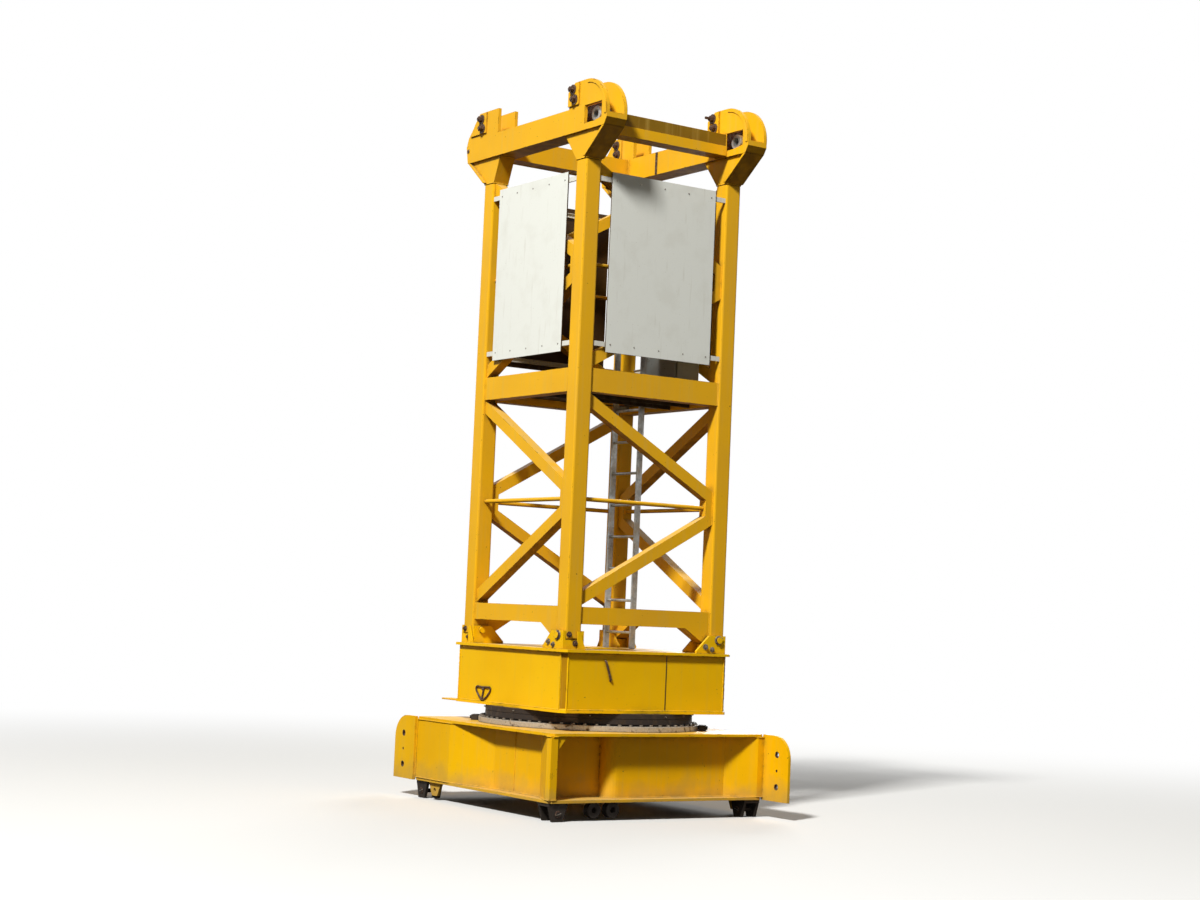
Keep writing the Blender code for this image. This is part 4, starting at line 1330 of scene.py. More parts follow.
    def foot_pins(self) -> None:
        """Washers and split pins on the cross pins of the four feet."""
        bench = Bench()
        centre = self.flange_half - self.foot_line
        for sense in (-1.0, 1.0):
            x = centre + sense * 0.083
            washer = rod((x - 0.003, -centre, 0.06), (x + 0.003, -centre, 0.06), 0.029)
            bench.add(washer, self.finishes.pins, EVERY_SIDE)
            x = centre + sense * 0.0885
            pin = rod((x, -centre - 0.026, 0.052), (x, -centre + 0.026, 0.068), 0.0032, 8)
            bench.add(pin, self.finishes.bolts, EVERY_SIDE)
        bench.hand_over("foot_pin_washers", Body.BASE)

    def build(self) -> None:
        """Dress the base frame."""
        coat(self.finishes.base, *("base_side_" + side.name.lower() for side in Side))
        coat(
            self.finishes.base, "base_bottom_flange", "base_top_flange", "base_drum",
            "arm_plate_front_left", "arm_plate_back_right", "base_lug_front", "base_lug_back",
        )
        coat(self.finishes.feet, *("foot_" + corner for corner in CORNERS))
        self.welds()
        self.gussets()
        self.end_blocks()
        self.bushes()
        self.foot_pins()


@dataclass
class SlewingRing(Assembly):
    """The bearing: a flanged fixed ring with its bolts, paler partly from a painted highlight, and the
    greased ring that turns on it, darker partly from painted shade.
    """

    inner: float = 0.700
    track: float = 0.825
    outer: float = 0.880
    flange_radius: float = 0.935
    bottom: float = 0.6893
    flange_top: float = 0.7343
    split: float = 0.759
    top: float = 0.8357
    gap: float = 0.012
    bolt_count: int = 60
    bolt_size: float = 0.026
    chamfer: float = 0.003
    groove: float = 0.004
    grease_points: int = 8

    def lower(self) -> None:
        """The fixed ring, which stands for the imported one."""
        bench = Bench()
        rim, edge = self.flange_radius, self.flange_radius - self.chamfer
        profile = [
            (self.inner, self.bottom), (edge, self.bottom), (rim, self.bottom + self.chamfer),
            (rim, self.flange_top - self.chamfer), (edge, self.flange_top), (self.track, self.flange_top),
            (self.track, self.split), (self.inner, self.split),
        ]
        bench.add(turned_ring(profile), self.finishes.track)
        bench.hand_over("slewing_ring_lower", Body.BASE, ["slewing_ring_fixed"])

    def upper(self) -> None:
        """The turning ring with its groove, seal and grease points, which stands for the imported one."""
        bench = Bench()
        lip, seat = self.flange_top + self.gap, self.split + SEAT
        middle, half = (lip + self.top) / 2.0, self.groove / 2.0
        edge, floor = self.outer - self.chamfer, self.outer - self.groove
        profile = [
            (self.inner, seat), (self.track + self.gap, seat), (self.track + self.gap, lip), (edge, lip),
            (self.outer, lip + self.chamfer), (self.outer, middle - self.groove), (floor, middle - half),
            (floor, middle + half), (self.outer, middle + self.groove), (self.outer, self.top - self.chamfer),
            (edge, self.top), (self.inner, self.top),
        ]
        bench.add(turned_ring(profile), self.finishes.ring)
        near, far, foot = self.track + 0.001, self.track + 0.030, lip - 0.009
        bench.add(turned_ring([(near, foot), (far, foot), (far, lip), (near, lip)]), self.finishes.rubber)
        for number in range(self.grease_points):
            angle = 2.0 * math.pi * number / self.grease_points + 0.2
            way = Vector((math.cos(angle), math.sin(angle), 0.0))
            low = way * (self.outer - 0.002) + Vector((0.0, 0.0, middle + 0.022))
            bench.add(rod(low, low + way * 0.010, 0.006, 6), self.finishes.bolts)
            bench.add(rod(low + way * 0.009, low + way * 0.017, 0.0038, 8), self.finishes.bolts)
        bench.hand_over("slewing_ring_upper", Body.TOWER, ["slewing_ring_turning"])

    def build(self) -> None:
        """Replace both packed rings with turned ones and bolt the lower one down."""
        self.lower()
        self.upper()
        values = {
            "Ring Radius": 0.5 * (self.outer + self.flange_radius) + 0.003, "Height": self.flange_top,
            "Bolt Size": self.bolt_size, "Count": self.bolt_count, "Seed": RING_SEED,
            "Finish": self.finishes.bolts,
        }
        made = self.trees.ring.run(bpy.data.meshes.new("ring_bolts_seed"), values)
        place_piece("slewing_ring_bolts", made, Body.BASE)


@dataclass
class Turntable(Assembly):
    """The yellow box that turns: its beads, seams, corner strips, clip, stay, step and leg pins."""

    half: float = 0.830
    corner_cut: float = 0.045
    low: float = 0.858
    high: float = 1.321
    top: float = 1.343
    bead: float = 0.0055
    leg_line: float = 0.725
    tower_half: float = 0.800
    pin_height: float = 1.4557
    pin_hub: float = 0.0253
    shoe_inner: float = 0.6497
    seam: tuple[float, float] = (0.186, 0.194)
    clip_x: float = -0.368
    clip_half: float = 0.117
    clip_low: float = 0.874
    clip_high: float = 0.982
    wire: float = 0.0075
    step_reach: float = 1.115
    step_back: float = -0.70
    # Bolts through a shoe's cheek as (x, z, size), and its stop bolts as (y, z).
    cheek_bolts: tuple[Point, ...] = ((0.590, 1.398, 0.026), (0.661, 1.377, 0.024))
    stop_bolts: tuple[Point, ...] = ((-0.768, 1.462), (-0.708, 1.392))
    stop_size: float = 0.026
    wedge_top: float = 1.488

    def outline(self, grow: float, height: float) -> list[tuple[float, float, float]]:
        """The wall's outline at one height.

        Args:
            grow: How far it stands off the wall.
            height: Its height.

        Returns:
            The eight corners.
        """
        half, inner = self.half + grow, self.half + grow - self.corner_cut
        return [
            (-inner, -half, height), (inner, -half, height), (half, -inner, height), (half, inner, height),
            (inner, half, height), (-inner, half, height), (-half, inner, height), (-half, -inner, height),
        ]

    def welds(self) -> None:
        """Beads along the wall's foot and head, and down its corners."""
        welds = Welds()
        welds.run(self.outline(0.001, self.low + 0.003), True)
        welds.run(self.outline(0.001, self.high - 0.003), True)
        inner, half = self.half - self.corner_cut, self.half
        for x, y in ((inner + 0.001, -half - 0.001), (half + 0.001, -inner - 0.001)):
            welds.upright(x, y, self.low + 0.004, self.high - 0.004, EVERY_SIDE)
        welds.lay("turntable_weld_beads", self.trees.weld, Body.TOWER, self.bead, self.finishes.platform)

    def seams(self) -> None:
        """A dark plate seam on the right and left walls, and darker strips down the cut corners that are
        painted shade with some grime.
        """
        bench = Bench()
        left, right = self.seam
        low, high = (left, -self.half - 0.003, self.low), (right, -self.half + 0.001, self.high)
        bench.add(box_between(low, high, 0.001), self.finishes.film, RIGHT_AND_LEFT)
        outline = [(-0.022, 0.0), (0.022, 0.0), (0.022, 0.0022), (-0.022, 0.0022)]
        strip = flat_plate(outline, self.high - self.low - 0.03)
        cut = 0.5 * self.corner_cut
        inner = self.half - self.corner_cut
        place = Matrix.Translation((inner + cut, -self.half + cut, self.low + 0.015))
        turn = Matrix.Rotation(QUARTER_TURN / 2.0, 4, "Z") @ Matrix.Translation((0.0, -0.0020, 0.0))
        # the corner strips are darker enamel: painted shade with some grime
        bench.add(moved(strip, place @ turn), self.finishes.soiled, EVERY_SIDE)
        bench.hand_over("turntable_seams", Body.TOWER)

    def clip(self, bench: Bench) -> None:
        """The bent wire clip on the front wall, with its stem and the stud that it hangs on.

        Args:
            bench: Takes the parts.
        """
        low, high = self.clip_low, self.clip_high
        marks = [
            (-0.2, low), (-0.62, low + 0.035), (-0.95, high - 0.035), (-0.98, high - 0.012), (-0.86, high),
            (0.0, high - 0.004), (0.88, high), (1.0, high - 0.012), (0.95, high - 0.035),
            (0.55, low + 0.030), (0.1, low), (-0.2, low),
        ]
        stem = [(0.1, high), (0.0, high - 0.05), (-0.12, low + 0.005)]
        for line in (marks, stem):
            points = [(self.clip_x + share * self.clip_half, -self.half - 0.008, z) for share, z in line]
            bench.add(tube_along(points, self.wire), self.finishes.pins)
        z = high - 0.02
        stud = rod((self.clip_x, -self.half + 0.001, z), (self.clip_x, -self.half - 0.017, z), 0.013)
        bench.add(stud, self.finishes.pins)

    def fittings(self) -> None:
        """The wire clip, the stay on the right wall, and the step plate with its brace at the left."""
        bench = Bench()
        self.clip(bench)
        stay = [(0.83, -0.425, 1.262), (0.842, -0.422, 1.252), (0.842, -0.372, 1.108), (0.83, -0.369, 1.098)]
        bench.add(tube_along(stay, 0.009), self.finishes.pins)
        low = (-self.step_reach, -0.80, self.low - 0.022)
        high = (-self.half, self.step_back, self.low - 0.008)
        bench.add(box_between(low, high, 0.003), self.finishes.lattice)
        brace = flat_plate([(-self.half, -0.79), (-1.03, -0.79), (-self.half, -0.62)], 0.010, 0.001)
        bench.add(shifted(brace, 0.0, 0.0, self.low - 0.020), self.finishes.lattice)
        bench.hand_over("turntable_fittings", Body.TOWER)

    def shoe_pins(self) -> None:
        """Washers, caps and split pins of the four leg pins."""
        bench = Bench()
        x, z = self.leg_line, self.pin_height
        for face, sense in ((-self.tower_half - self.pin_hub, -1.0), (-self.shoe_inner + SEAT, 1.0)):
            washer = rod((x, face, z), (x, face + sense * 0.007, z), 0.039, 20)
            bench.add(washer, self.finishes.bolts, EVERY_SIDE)
            head = rod((x, face + sense * 0.006, z), (x, face + sense * 0.019, z), 0.030, 20)
            bench.add(head, self.finishes.pins, EVERY_SIDE)
            y = face + sense * 0.013
            pin = rod((x - 0.038, y, z - 0.020), (x + 0.038, y, z + 0.020), 0.0035, 8)
            bench.add(pin, self.finishes.bolts, EVERY_SIDE)
        bench.hand_over("leg_pin_heads", Body.TOWER)

    def shoe_bolts(self) -> None:
        """Bolts through the shoes' cheeks, stop bolts on their outer faces, and wedges beside them."""
        bolts = Fasteners(Stamp.HEX_BOLT)
        for x, z, size in self.cheek_bolts:
            bolts.put((x, -self.tower_half - self.pin_hub, z), (0.0, -1.0, 0.0), size, EVERY_SIDE)
        bolts.set_in("shoe_bolts", self.trees, Body.TOWER, self.finishes.bolts)
        stops = Fasteners(Stamp.HEX_BOLT)
        for y, z in self.stop_bolts:
            stops.put((self.tower_half, y, z), (1.0, 0.0, 0.0), self.stop_size, EVERY_SIDE)
        stops.set_in("shoe_stop_bolts", self.trees, Body.TOWER, self.finishes.pins)
        wedges = Bench()
        outline = [(0.614, self.top), (0.694, self.top), (0.694, self.wedge_top), (0.668, self.wedge_top)]
        wedge = standing(flat_plate(outline, 0.012, 0.001), 0.0)
        place = Matrix.Translation((self.tower_half + 0.004, 0.0, 0.0)) @ quarter(-1)
        wedges.add(moved(wedge, place), self.finishes.platform, EVERY_SIDE)
        wedges.hand_over("shoe_wedges", Body.TOWER)

    def build(self) -> None:
        """Dress the turntable."""
        coat(self.finishes.platform, "turntable_bottom_plate", "turntable_walls", "turntable_top_plate")
        coat(self.finishes.platform, *("leg_shoe_" + corner for corner in CORNERS))
        self.welds()
        self.seams()
        self.fittings()
        self.shoe_pins()
        self.shoe_bolts()


@dataclass
class Lattice(Assembly):
    """Legs, beams and K braces: their enamel and end welds."""

    leg_inner: float = 0.650
    beam_front: float = -0.785
    beam_back: float = -0.665
    brace_front: float = -0.770
    brace_back: float = -0.680
    bottom_beam: tuple[float, float, float] = (1.430, 1.548, 1.688)
    middle_beam: tuple[float, float] = (3.436, 3.630)
    bays: tuple[tuple[float, float], ...] = ((1.688, 1.748), (3.630, 1.716))
    brace_rise: float = 0.110
    point_rise: float = 0.140
    margin: float = 0.009
    bead: float = 0.005

    def welds(self) -> None:
        """Beads round the ends of beams and braces."""
        welds = Welds()
        end = self.leg_inner - 0.002
        for x in (-end, end):
            for low, high in ((self.bottom_beam[1 if x < 0 else 0], self.bottom_beam[2]), self.middle_beam):
                welds.frame((x, self.beam_front, low), (x, self.beam_back, high), 0, EVERY_SIDE)
        for bottom, rise in self.bays:
            middle = bottom + rise / 2.0
            spread = rise / 2.0 - self.margin
            upper, lower = middle + spread, middle - spread
            for x, low, high in (
                (-end, upper - self.brace_rise, upper),
                (-end, lower, lower + self.brace_rise),
                (end, middle - self.point_rise, middle + self.point_rise),
            ):
                welds.frame((x, self.brace_front, low), (x, self.brace_back, high), 0, EVERY_SIDE)
        welds.lay("lattice_weld_beads", self.trees.weld, Body.TOWER, self.bead, self.finishes.lattice)

    def build(self) -> None:
        """Dress the lattice."""
        for kind in ("bottom_beam_", "middle_beam_", "lower_brace_", "upper_brace_"):
            coat(self.finishes.lattice, *(kind + side.name.lower() for side in Side))
        coat(self.finishes.lattice, *("leg_" + corner for corner in CORNERS))
        self.welds()


@dataclass
class TopFrame(Assembly):
    """Top girders and cross beams: chin plates, keepers, sleeves, rims, edge plates and welds."""

    leg_line: float = 0.725
    leg_half: float = 0.075
    leg_top: float = 5.346
    girder_width: float = 0.200
    girder_back: float = -0.625
    girder_bottom: float = 5.570
    girder_top: float = 5.775
    ear_top: float = 5.990
    end: float = 1.100
    bead: float = 0.0055
    beam_x: tuple[float, float] = (0.650, 0.800)
    nose_x: float = 1.064
    window: tuple[float, float] = (0.860, 5.702)
    window_depth: float = 0.030
    dome: float = 0.300
    splice: tuple[float, float] = (-0.229, -0.201)

    @property
    def lines(self) -> tuple[float, float]:
        """Middle planes of the front and back girders."""
        return (-self.leg_line, self.leg_line)

    def welds(self) -> None:
        """Beads round leg heads and cross-beam ends."""
        welds = Welds()
        near, far = self.leg_line - self.leg_half, self.leg_line + self.leg_half
        welds.frame((near, -far, self.leg_top), (far, -near, self.leg_top), 2, EVERY_SIDE)
        near, far = self.beam_x
        for low, high in ((near, far), (-far, -near)):
            for y in (self.girder_back + 0.002, -self.girder_back - 0.002):
                welds.frame((low, y, self.girder_top - 0.195), (high, y, self.girder_top - 0.010), 1)
        welds.lay("top_frame_weld_beads", self.trees.weld, Body.TOWER, self.bead, self.finishes.lattice)

    def chin_plates(self, bench: Bench) -> None:
        """Wide plates under the noses, down to the leg heads.

        Args:
            bench: Takes the plates.
        """
        half = self.girder_width / 2.0
        low, high = self.leg_top + 0.012, self.girder_bottom - 0.001
        for sense in (-1.0, 1.0):
            foot, nose = self.beam_x[1] * sense, self.nose_x * sense
            outline = [(foot, low), (nose, high), (nose - 0.034 * sense, high), (foot - 0.030 * sense, low)]
            for line in self.lines:
                plate = flat_plate(outline, self.girder_width - 0.004, 0.002)
                bench.add(standing(plate, line - half + 0.002), self.finishes.lattice)

    def keepers(self, bench: Bench, bolts: Fasteners) -> None:
        """Keeper plates on both faces of each nose, with the two bolts that hold each.

        Args:
            bench: Takes the plates.
            bolts: Takes the bolts.
        """
        right = [(0.541, 5.795), (0.541, 5.915), (0.640, 5.984), (0.694, 5.984), (0.694, 5.795)]
        left = [(-1.020, 5.800), (-0.948, 5.900), (-0.868, 5.984), (-0.765, 5.984), (-0.765, 5.800)]
        plates = (right, ((0.612, 5.930), (0.640, 5.842))), (left, ((-0.836, 5.928), (-0.818, 5.842)))
        thick = 0.014
        for line in self.lines:
            for sense in (-1.0, 1.0):
                face = line + sense * self.girder_width / 2.0
                low = face if sense > 0 else face - thick
                for outline, places in plates:
                    bench.add(standing(flat_plate(outline, thick, 0.0015), low), self.finishes.lattice)
                    for x, z in places:
                        bolts.put((x, face + sense * thick, z), (0.0, sense, 0.0), 0.046)

    def sleeves(self, bench: Bench) -> None:
        """Galvanised sleeves in the windows, with their locking pins and dark liners behind them that paint
        the slot's shade.

        Args:
            bench: Takes the parts.
        """
        x, z = self.window
        profile = [(0.0348, 0.0), (0.0625, 0.0), (0.0625, 0.111), (0.0612, 0.113), (0.0348, 0.113)]
        shade_liner = [(0.548, 5.612), (0.800, 5.646), (0.800, 5.828), (0.548, 5.828)]
        for line in self.lines:
            face = line + self.girder_width / 2.0
            back = face - self.window_depth
            bench.add(bushing(profile, (x, back, z), 32), self.finishes.zinc)
            bench.add(rod((x, back - 0.066, z), (x, face, z), 0.0335, 20), self.finishes.pins)
            # a dark liner on the slot's back wall is painted shade
            bench.add(standing(flat_plate(shade_liner, 0.0016, 0.0004), back - 0.0018), self.finishes.pins)

    def rims(self, bench: Bench) -> None:
        """Narrow raised rims that follow the domed noses.

        Args:
            bench: Takes the plates.
        """
        dome = (self.end - self.dome, self.ear_top - self.dome)
        outer, inner = arc(dome, 0.294, -6.0, 88.0, 32), arc(dome, 0.268, 88.0, -6.0, 32)
        thick = 0.007
        for line in self.lines:
            for sense in (-1.0, 1.0):
                face = line + sense * self.girder_width / 2.0
                low = face if sense > 0 else face - thick
                bench.add(standing(flat_plate(outer + inner, thick, 0.001), low), self.finishes.lattice)

    def edge_plates(self, bench: Bench) -> None:
        """Lower edge plates outside the cross beams, with a darker strip above them that is painted shade.

        Args:
            bench: Takes the plates.
        """
        low, reach, face = self.girder_top - 0.198, -self.girder_back - 0.003, self.beam_x[1]
        seam = low + 0.085
        for sense in (-1.0, 1.0):
            for outer, foot, head, finish in (
                (face + 0.014, low, seam, self.finishes.lattice),
                # the upper strip is darker enamel that paints shade
                (face + 0.0022, seam, self.girder_top - 0.012, self.finishes.painted_shade_enamel),
            ):
                near, far = sorted(((face - 0.001) * sense, outer * sense))
                bench.add(box_between((near, -reach, foot), (far, reach, head), 0.0008), finish)

    def small_parts(self, bench: Bench) -> None:
        """Dark splice straps on the girders' inner faces, one long bolt and the nose pins.

        Args:
            bench: Takes the parts.
        """
        low, high = self.girder_bottom + 0.004, self.girder_top - 0.004
        left, right = self.splice
        for face, sense in ((self.girder_back, 1.0), (-self.girder_back, -1.0)):
            near, far = sorted((face, face + sense * 0.006))
            bench.add(box_between((left, near, low), (right, far, high), 0.001), self.finishes.pins)
        bench.add(rod((0.612, 0.53, 5.930), (0.612, 0.66, 5.930), 0.012), self.finishes.pins)
        for line in self.lines:
            front = line - self.girder_width / 2.0
            back = line + self.girder_width / 2.0 - self.window_depth
            for x, y, z, inset, radius in (
                (-1.066, front, 5.680, 0.006, 0.019),
                (0.800, back, 5.937, 0.008, 0.016),
            ):
                bench.add(rod((x, y - inset, z), (x, y + 0.01, z), radius), self.finishes.pins)

    def dress(self) -> None:
        """Everything bolted or welded on the girders' noses."""
        bench = Bench()
        bolts = Fasteners(Stamp.HEX_BOLT)
        self.chin_plates(bench)
        self.keepers(bench, bolts)
        self.sleeves(bench)
        self.rims(bench)
        self.edge_plates(bench)
        self.small_parts(bench)
        bench.hand_over("top_frame_doublers", Body.TOWER)
        bolts.set_in("top_frame_bolts", self.trees, Body.TOWER, self.finishes.pins)

    def build(self) -> None:
        """Dress the top frame."""
        coat(
            self.finishes.lattice,
            "top_girder_front", "top_girder_back", "top_cross_beam_right", "top_cross_beam_left",
        )
        self.welds()
        self.dress()


@dataclass
class DeckAndLadder(Assembly):
    """The chequered deck on its joists with a hatch rim, and the ladder's brackets."""

    half: float = 0.6647
    corner: float = 0.150
    low: float = 3.500
    thickness: float = 0.008
    hatch: tuple[float, float, float, float] = (-0.605, -0.045, 0.045, 0.565)
    pitch: float = 0.046
    bar: tuple[float, float, float] = (0.034, 0.009, 0.0022)
    margin: float = 0.030
    joist_x: tuple[float, float] = (0.08, 0.36)
    bracket_x: tuple[float, float] = (-0.546, -0.115)
    bracket_heights: tuple[float, ...] = (1.60, 3.46, 3.58, 5.05)

    def tread(self) -> None:
        """Raised tread bars over the whole deck, turned left and right by turns."""
        bars = Fasteners(Stamp.TREAD_BAR, 0.0)
        count = int(self.half / self.pitch)
        left, right, front, back = self.hatch
        edge = self.margin
        for i in range(-count, count + 1):
            for j in range(-count, count + 1):
                x, y = i * self.pitch, j * self.pitch
                in_hatch = left - edge < x < right + edge and front - edge < y < back + edge
                if in_hatch or abs(x) + abs(y) > 2.0 * self.half - self.corner - edge:
                    continue
                spin = QUARTER_TURN / 2.0 * (1 if (i + j) % 2 else -1)
                bars.put((x, y, self.low + self.thickness), (0.0, 0.0, 1.0), self.bar, (0,), spin)
        bars.set_in("deck_tread", self.trees, Body.TOWER, self.finishes.tread)

    def joists(self) -> None:
        """Flat joists under the deck and an angle rim round the hatch."""
        bench = Bench()
        reach = self.half - 0.002
        for x in self.joist_x:
            joist = box_between((x, -reach, self.low - 0.058), (x + 0.010, reach, self.low - SEAT), 0.001)
            bench.add(joist, self.finishes.tread)
        left, right, front, back = self.hatch
        low, high, thick = self.low - 0.03, self.low + self.thickness + 0.035, 0.006
        for near_x, near_y, far_x, far_y in (
            (left - thick, front - thick, left, back + thick),
            (right, front - thick, right + thick, back + thick),
            (left - thick, front - thick, right + thick, front),
        ):
            rim = box_between((near_x, near_y, low), (far_x, far_y, high), 0.001)
            bench.add(rim, self.finishes.lattice)
        bench.hand_over("deck_joists", Body.TOWER)

    def brackets(self) -> None:
        """Flat brackets that tie the ladder's rails to the beams behind it."""
        bench = Bench()
        bolts = Fasteners(Stamp.HEX_BOLT)
        thick = 0.010
        for x, way in zip(self.bracket_x, (-1.0, 1.0)):
            for z in self.bracket_heights:
                back = 0.664 if z < 5.0 else 0.679
                bench.add(box_between((x, 0.49, z), (x + thick, back, z + 0.045), 0.001), self.finishes.zinc)
                bolts.put((x + (0.0 if way < 0 else thick), 0.51, z + 0.022), (way, 0.0, 0.0), 0.016)
        bench.hand_over("ladder_brackets", Body.TOWER)
        bolts.set_in("ladder_bolts", self.trees, Body.TOWER, self.finishes.bolts)

    def build(self) -> None:
        """Dress deck and ladder."""
        coat(self.finishes.tread, "deck")
        coat(self.finishes.zinc, "ladder")
        self.tread()
        self.joists()
        self.brackets()


@dataclass
class SignBoards(Assembly):
    """Four blank plywood boards on white channel rails, screwed through their faces."""

    face: float = -0.800
    thickness: float = 0.012
    half_width: float = 0.535
    low: float = 3.770
    high: float = 5.262
    rail_rise: float = 0.040
    rail_inset: float = 0.045
    rail_back: float = -0.7703
    reach: float = 0.6497
    sheet: float = 0.004
    screw_x: tuple[float, ...] = (-0.49, -0.25, 0.0, 0.25, 0.49)

    def board(self, side: Side) -> None:
        """One board with its two rails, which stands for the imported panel.

        Args:
            side: The tower's side that it hangs on.
        """
        bench = Bench()
        back = self.face + self.thickness
        panel = box_between(
            (-self.half_width, self.face, self.low), (self.half_width, back, self.high), 0.0015
        )
        bench.add(panel, self.finishes.film, front_finish=self.finishes.board)
        for low in (self.low + self.rail_inset, self.high - self.rail_inset - self.rail_rise):
            high = low + self.rail_rise
            for near, far, foot, head in (
                (back, back + self.sheet, low, high),
                (back + 0.003, self.rail_back, low, low + self.sheet),
                (back + 0.003, self.rail_back, high - self.sheet, high),
            ):
                part = box_between((-self.reach, near, foot), (self.reach, far, head), 0.0008)
                bench.add(part, self.finishes.rails)
        name = side.name.lower()
        bench.hand_over("sign_board_" + name, Body.TOWER, ["sign_panel_" + name], side.value)

    def screws(self) -> None:
        """Screws through the boards into the rails, near the upper and lower edges."""
        screws = Fasteners(Stamp.SCREW)
        for z in (self.low + self.rail_inset + 0.02, self.high - self.rail_inset - 0.02):
            for x in self.screw_x:
                screws.put((x, self.face, z), (0.0, -1.0, 0.0), 0.013, EVERY_SIDE)
        screws.set_in("sign_board_screws", self.trees, Body.TOWER, self.finishes.bolts)

    def build(self) -> None:
        """Make the four boards and their screws."""
        for side in Side:
            self.board(side)
        self.screws()


@dataclass
class ControlCabinet(Assembly):
    """A sheet-steel cabinet with a door, seal, hinges, turn lock, feet and cable glands."""

    gap: float = 0.004
    plinth: float = 0.035
    door_depth: float = 0.022
    inset: float = 0.012
    seal_inset: float = 0.020
    hinge_end: float = 0.120
    gland_x: tuple[float, ...] = (0.12, 0.19, 0.26)

    def door(self, bench: Bench, low: Vector, high: Vector) -> None:
        """The door on the front, its seal, three hinges and the lock.

        Args:
            bench: Takes the parts.
            low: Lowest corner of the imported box.
            high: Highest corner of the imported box.
        """
        door_low = (low.x + self.inset, low.y + 0.004, low.z + self.plinth + self.inset)
        door_high = (high.x - self.inset, low.y + self.door_depth - self.gap, high.z - self.inset)
        bench.add(box_between(door_low, door_high, 0.004), self.finishes.cabinet)
        seal_low = (low.x + self.seal_inset, low.y + 0.016, low.z + self.plinth + self.seal_inset)
        seal_high = (high.x - self.seal_inset, low.y + 0.024, high.z - self.seal_inset)
        bench.add(box_between(seal_low, seal_high), self.finishes.rubber)
        middle = (low.z + high.z) / 2.0
        x, y = high.x - 0.008, low.y + 0.012
        for z in (low.z + self.hinge_end, middle, high.z - self.hinge_end):
            bench.add(rod((x, y, z - 0.03), (x, y, z + 0.03), 0.007), self.finishes.zinc)
        x, z = low.x + 0.05, middle + 0.02
        bench.add(rod((x, low.y + 0.004, z), (x, low.y, z), 0.016, 20), self.finishes.zinc)

    def build(self) -> None:
        """Make the cabinet in place of its packed box."""
        low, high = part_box("control_cabinet")
        bench = Bench()
        case_low = low + Vector((0.0, self.door_depth, self.plinth))
        bench.add(box_between(case_low, high, 0.006), self.finishes.cabinet)
        self.door(bench, low, high)
        head = low.z + self.plinth + 0.001
        for x in (low.x + 0.03, high.x - 0.07):
            foot = box_between((x, low.y + 0.04, low.z), (x + 0.04, high.y - 0.02, head), 0.002)
            bench.add(foot, self.finishes.zinc)
        y = low.y + 0.14
        for x in self.gland_x:
            gland = rod((low.x + x, y, head), (low.x + x, y, low.z + 0.004), 0.014)
            bench.add(gland, self.finishes.rubber)
        bench.hand_over("control_cabinet_case", Body.TOWER, ["control_cabinet"])


# --------------------------------------------------------------------------- studio


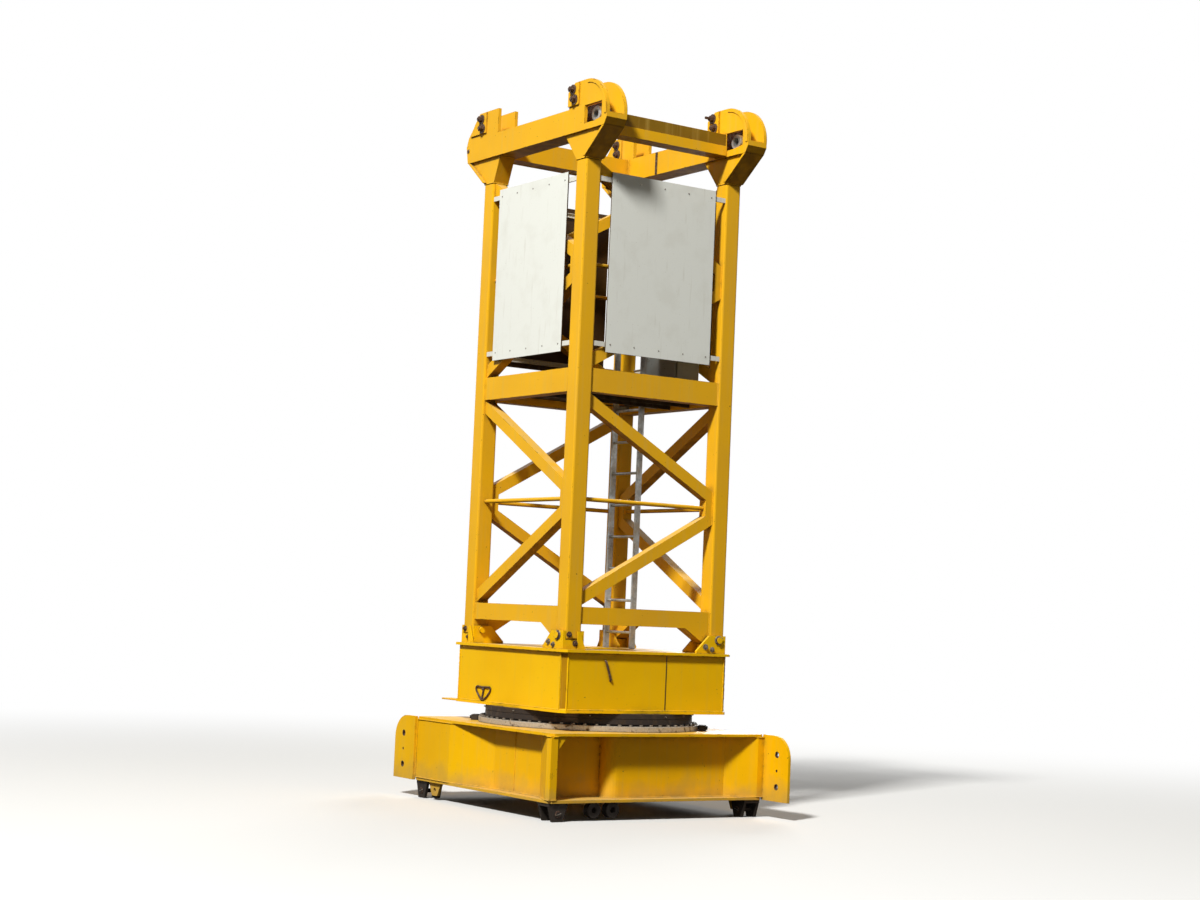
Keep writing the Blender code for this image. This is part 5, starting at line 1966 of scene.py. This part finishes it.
@dataclass(frozen=True)
class Studio:
    """Pale floor, white surround, a hard key lamp over the photographed side and a lamp behind."""

    eye: tuple[float, float, float] = (14.874, -10.149, 1.653)
    target: tuple[float, float, float] = (0.0, 0.0, 3.04)
    lens: float = 63.0
    roll_degrees: float = 2.46
    key_power: float = 16500.0
    back_power: float = 1700.0
    sky: float = 0.085
    key_place: tuple[float, float, float] = (12.6, -22.0, 27.0)
    back_place: tuple[float, float, float] = (-13.0, 15.0, 8.0)
    lit: tuple[float, float, float] = (0.0, 0.0, 2.6)
    floor_radius: float = 60.0
    floor_sides: int = 48
    floor_tone: str = "#E6E5E1"
    floor_bounce: str = "#625E56"
    fade: tuple[float, float] = (4.0, 14.0)

    def camera(self) -> None:
        """Set the camera where the photograph was taken from, aimed at the tower."""
        data = bpy.data.cameras.new("camera")
        data.lens = self.lens
        item = bpy.data.objects.new("camera", data)
        bpy.context.scene.collection.objects.link(item)
        way = Vector(self.target) - Vector(self.eye)
        roll = Matrix.Rotation(math.radians(self.roll_degrees), 3, "Z").to_quaternion()
        item.rotation_mode = "QUATERNION"
        item.rotation_quaternion = way.to_track_quat("-Z", "Y") @ roll
        item.location = self.eye
        bpy.context.scene.camera = item

    def lamp(self, name: str, place: Point, power: float, size: float) -> None:
        """Hang one square soft lamp that looks at the tower.

        Args:
            name: The lamp's name.
            place: Where it hangs.
            power: Its power in watts.
            size: Length of its sides.
        """
        data = bpy.data.lights.new(name, "AREA")
        data.energy = power
        data.size = size
        item = bpy.data.objects.new(name, data)
        bpy.context.scene.collection.objects.link(item)
        item.location = place
        item.rotation_mode = "QUATERNION"
        item.rotation_quaternion = (Vector(self.lit) - Vector(place)).to_track_quat("-Z", "Y")

    def surround(self) -> None:
        """An even sky that the camera and glossy rays see as white."""
        world = bpy.data.worlds.new("studio")
        bpy.context.scene.world = world
        world.use_nodes = True
        tree = world.node_tree
        tree.nodes.clear()
        path = tree.nodes.new("ShaderNodeLightPath")
        seen = add_node(
            tree, "ShaderNodeMath", {"operation": "MAXIMUM"},
            {0: path.outputs["Is Camera Ray"], 1: path.outputs["Is Transmission Ray"]},
        )
        inputs = {0: seen.outputs[0], 1: path.outputs["Is Glossy Ray"]}
        seen = add_node(tree, "ShaderNodeMath", {"operation": "MAXIMUM"}, inputs)
        colour = {"Color": (1.0, 1.0, 1.0, 1.0)}
        dim = add_node(tree, "ShaderNodeBackground", None, {**colour, "Strength": self.sky})
        white = add_node(tree, "ShaderNodeBackground", None, {**colour, "Strength": 1.0})
        inputs = {0: seen.outputs[0], 1: dim.outputs[0], 2: white.outputs[0]}
        both = add_node(tree, "ShaderNodeMixShader", None, inputs)
        add_node(tree, "ShaderNodeOutputWorld", None, {0: both.outputs[0]})

    def floor(self) -> None:
        """A wide pale floor that fades to white far from the machine."""
        material = bpy.data.materials.new("studio_floor")
        material.use_nodes = True
        tree = material.node_tree
        shader = tree.nodes["Principled BSDF"]
        shader.inputs["Roughness"].default_value = 0.9
        shader.inputs["Specular IOR Level"].default_value = 0.1
        place = add_node(tree, "ShaderNodeTexCoord").outputs["Object"]
        reach = add_node(tree, "ShaderNodeVectorMath", {"operation": "LENGTH"}, {0: place}).outputs["Value"]
        settings = {"interpolation_type": "SMOOTHSTEP"}
        fade = add_node(tree, "ShaderNodeMapRange", settings, {0: reach, 1: self.fade[0], 2: self.fade[1]})
        path = tree.nodes.new("ShaderNodeLightPath")
        direct = path.outputs["Is Camera Ray"]
        inputs = {0: direct, 6: linear(self.floor_bounce), 7: linear(self.floor_tone)}
        tone = add_node(tree, "ShaderNodeMix", {"data_type": "RGBA"}, inputs)
        tree.links.new(tone.outputs[2], shader.inputs["Base Color"])
        seen = add_node(tree, "ShaderNodeMath", {"operation": "MULTIPLY"}, {0: fade.outputs[0], 1: direct})
        white = add_node(tree, "ShaderNodeEmission", None, {"Color": (1.0, 1.0, 1.0, 1.0), "Strength": 1.0})
        inputs = {0: seen.outputs[0], 1: shader.outputs[0], 2: white.outputs[0]}
        both = add_node(tree, "ShaderNodeMixShader", None, inputs)
        tree.links.new(both.outputs[0], tree.nodes["Material Output"].inputs[0])
        data = bpy.data.meshes.new("studio_floor")
        angles = (math.tau * i / self.floor_sides for i in range(self.floor_sides))
        rim = [(self.floor_radius * math.cos(a), self.floor_radius * math.sin(a), -0.001) for a in angles]
        data.from_pydata(rim, [], [list(range(self.floor_sides))])
        data.materials.append(material)
        item = bpy.data.objects.new("studio_floor", data)
        bpy.context.scene.collection.objects.link(item)

    def build(self) -> None:
        """Set up the studio."""
        bpy.context.scene.view_settings.view_transform = "Standard"
        self.camera()
        self.surround()
        self.floor()
        self.lamp("key", self.key_place, self.key_power, 4.0)
        self.lamp("back", self.back_place, self.back_power, 8.0)


def main() -> None:
    """Build the studio and every sub-assembly."""
    logging.basicConfig(level=logging.INFO, format="%(name)s %(message)s")
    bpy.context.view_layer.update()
    Studio().build()
    finishes = Finishes()
    trees = Trees()
    assemblies = (
        BaseFrame, SlewingRing, Turntable, Lattice, TopFrame, DeckAndLadder, SignBoards, ControlCabinet
    )
    for assembly in assemblies:
        assembly(finishes, trees).build()
        LOG.info("%s done", assembly.__name__)


if __name__ == "__main__":
    main()
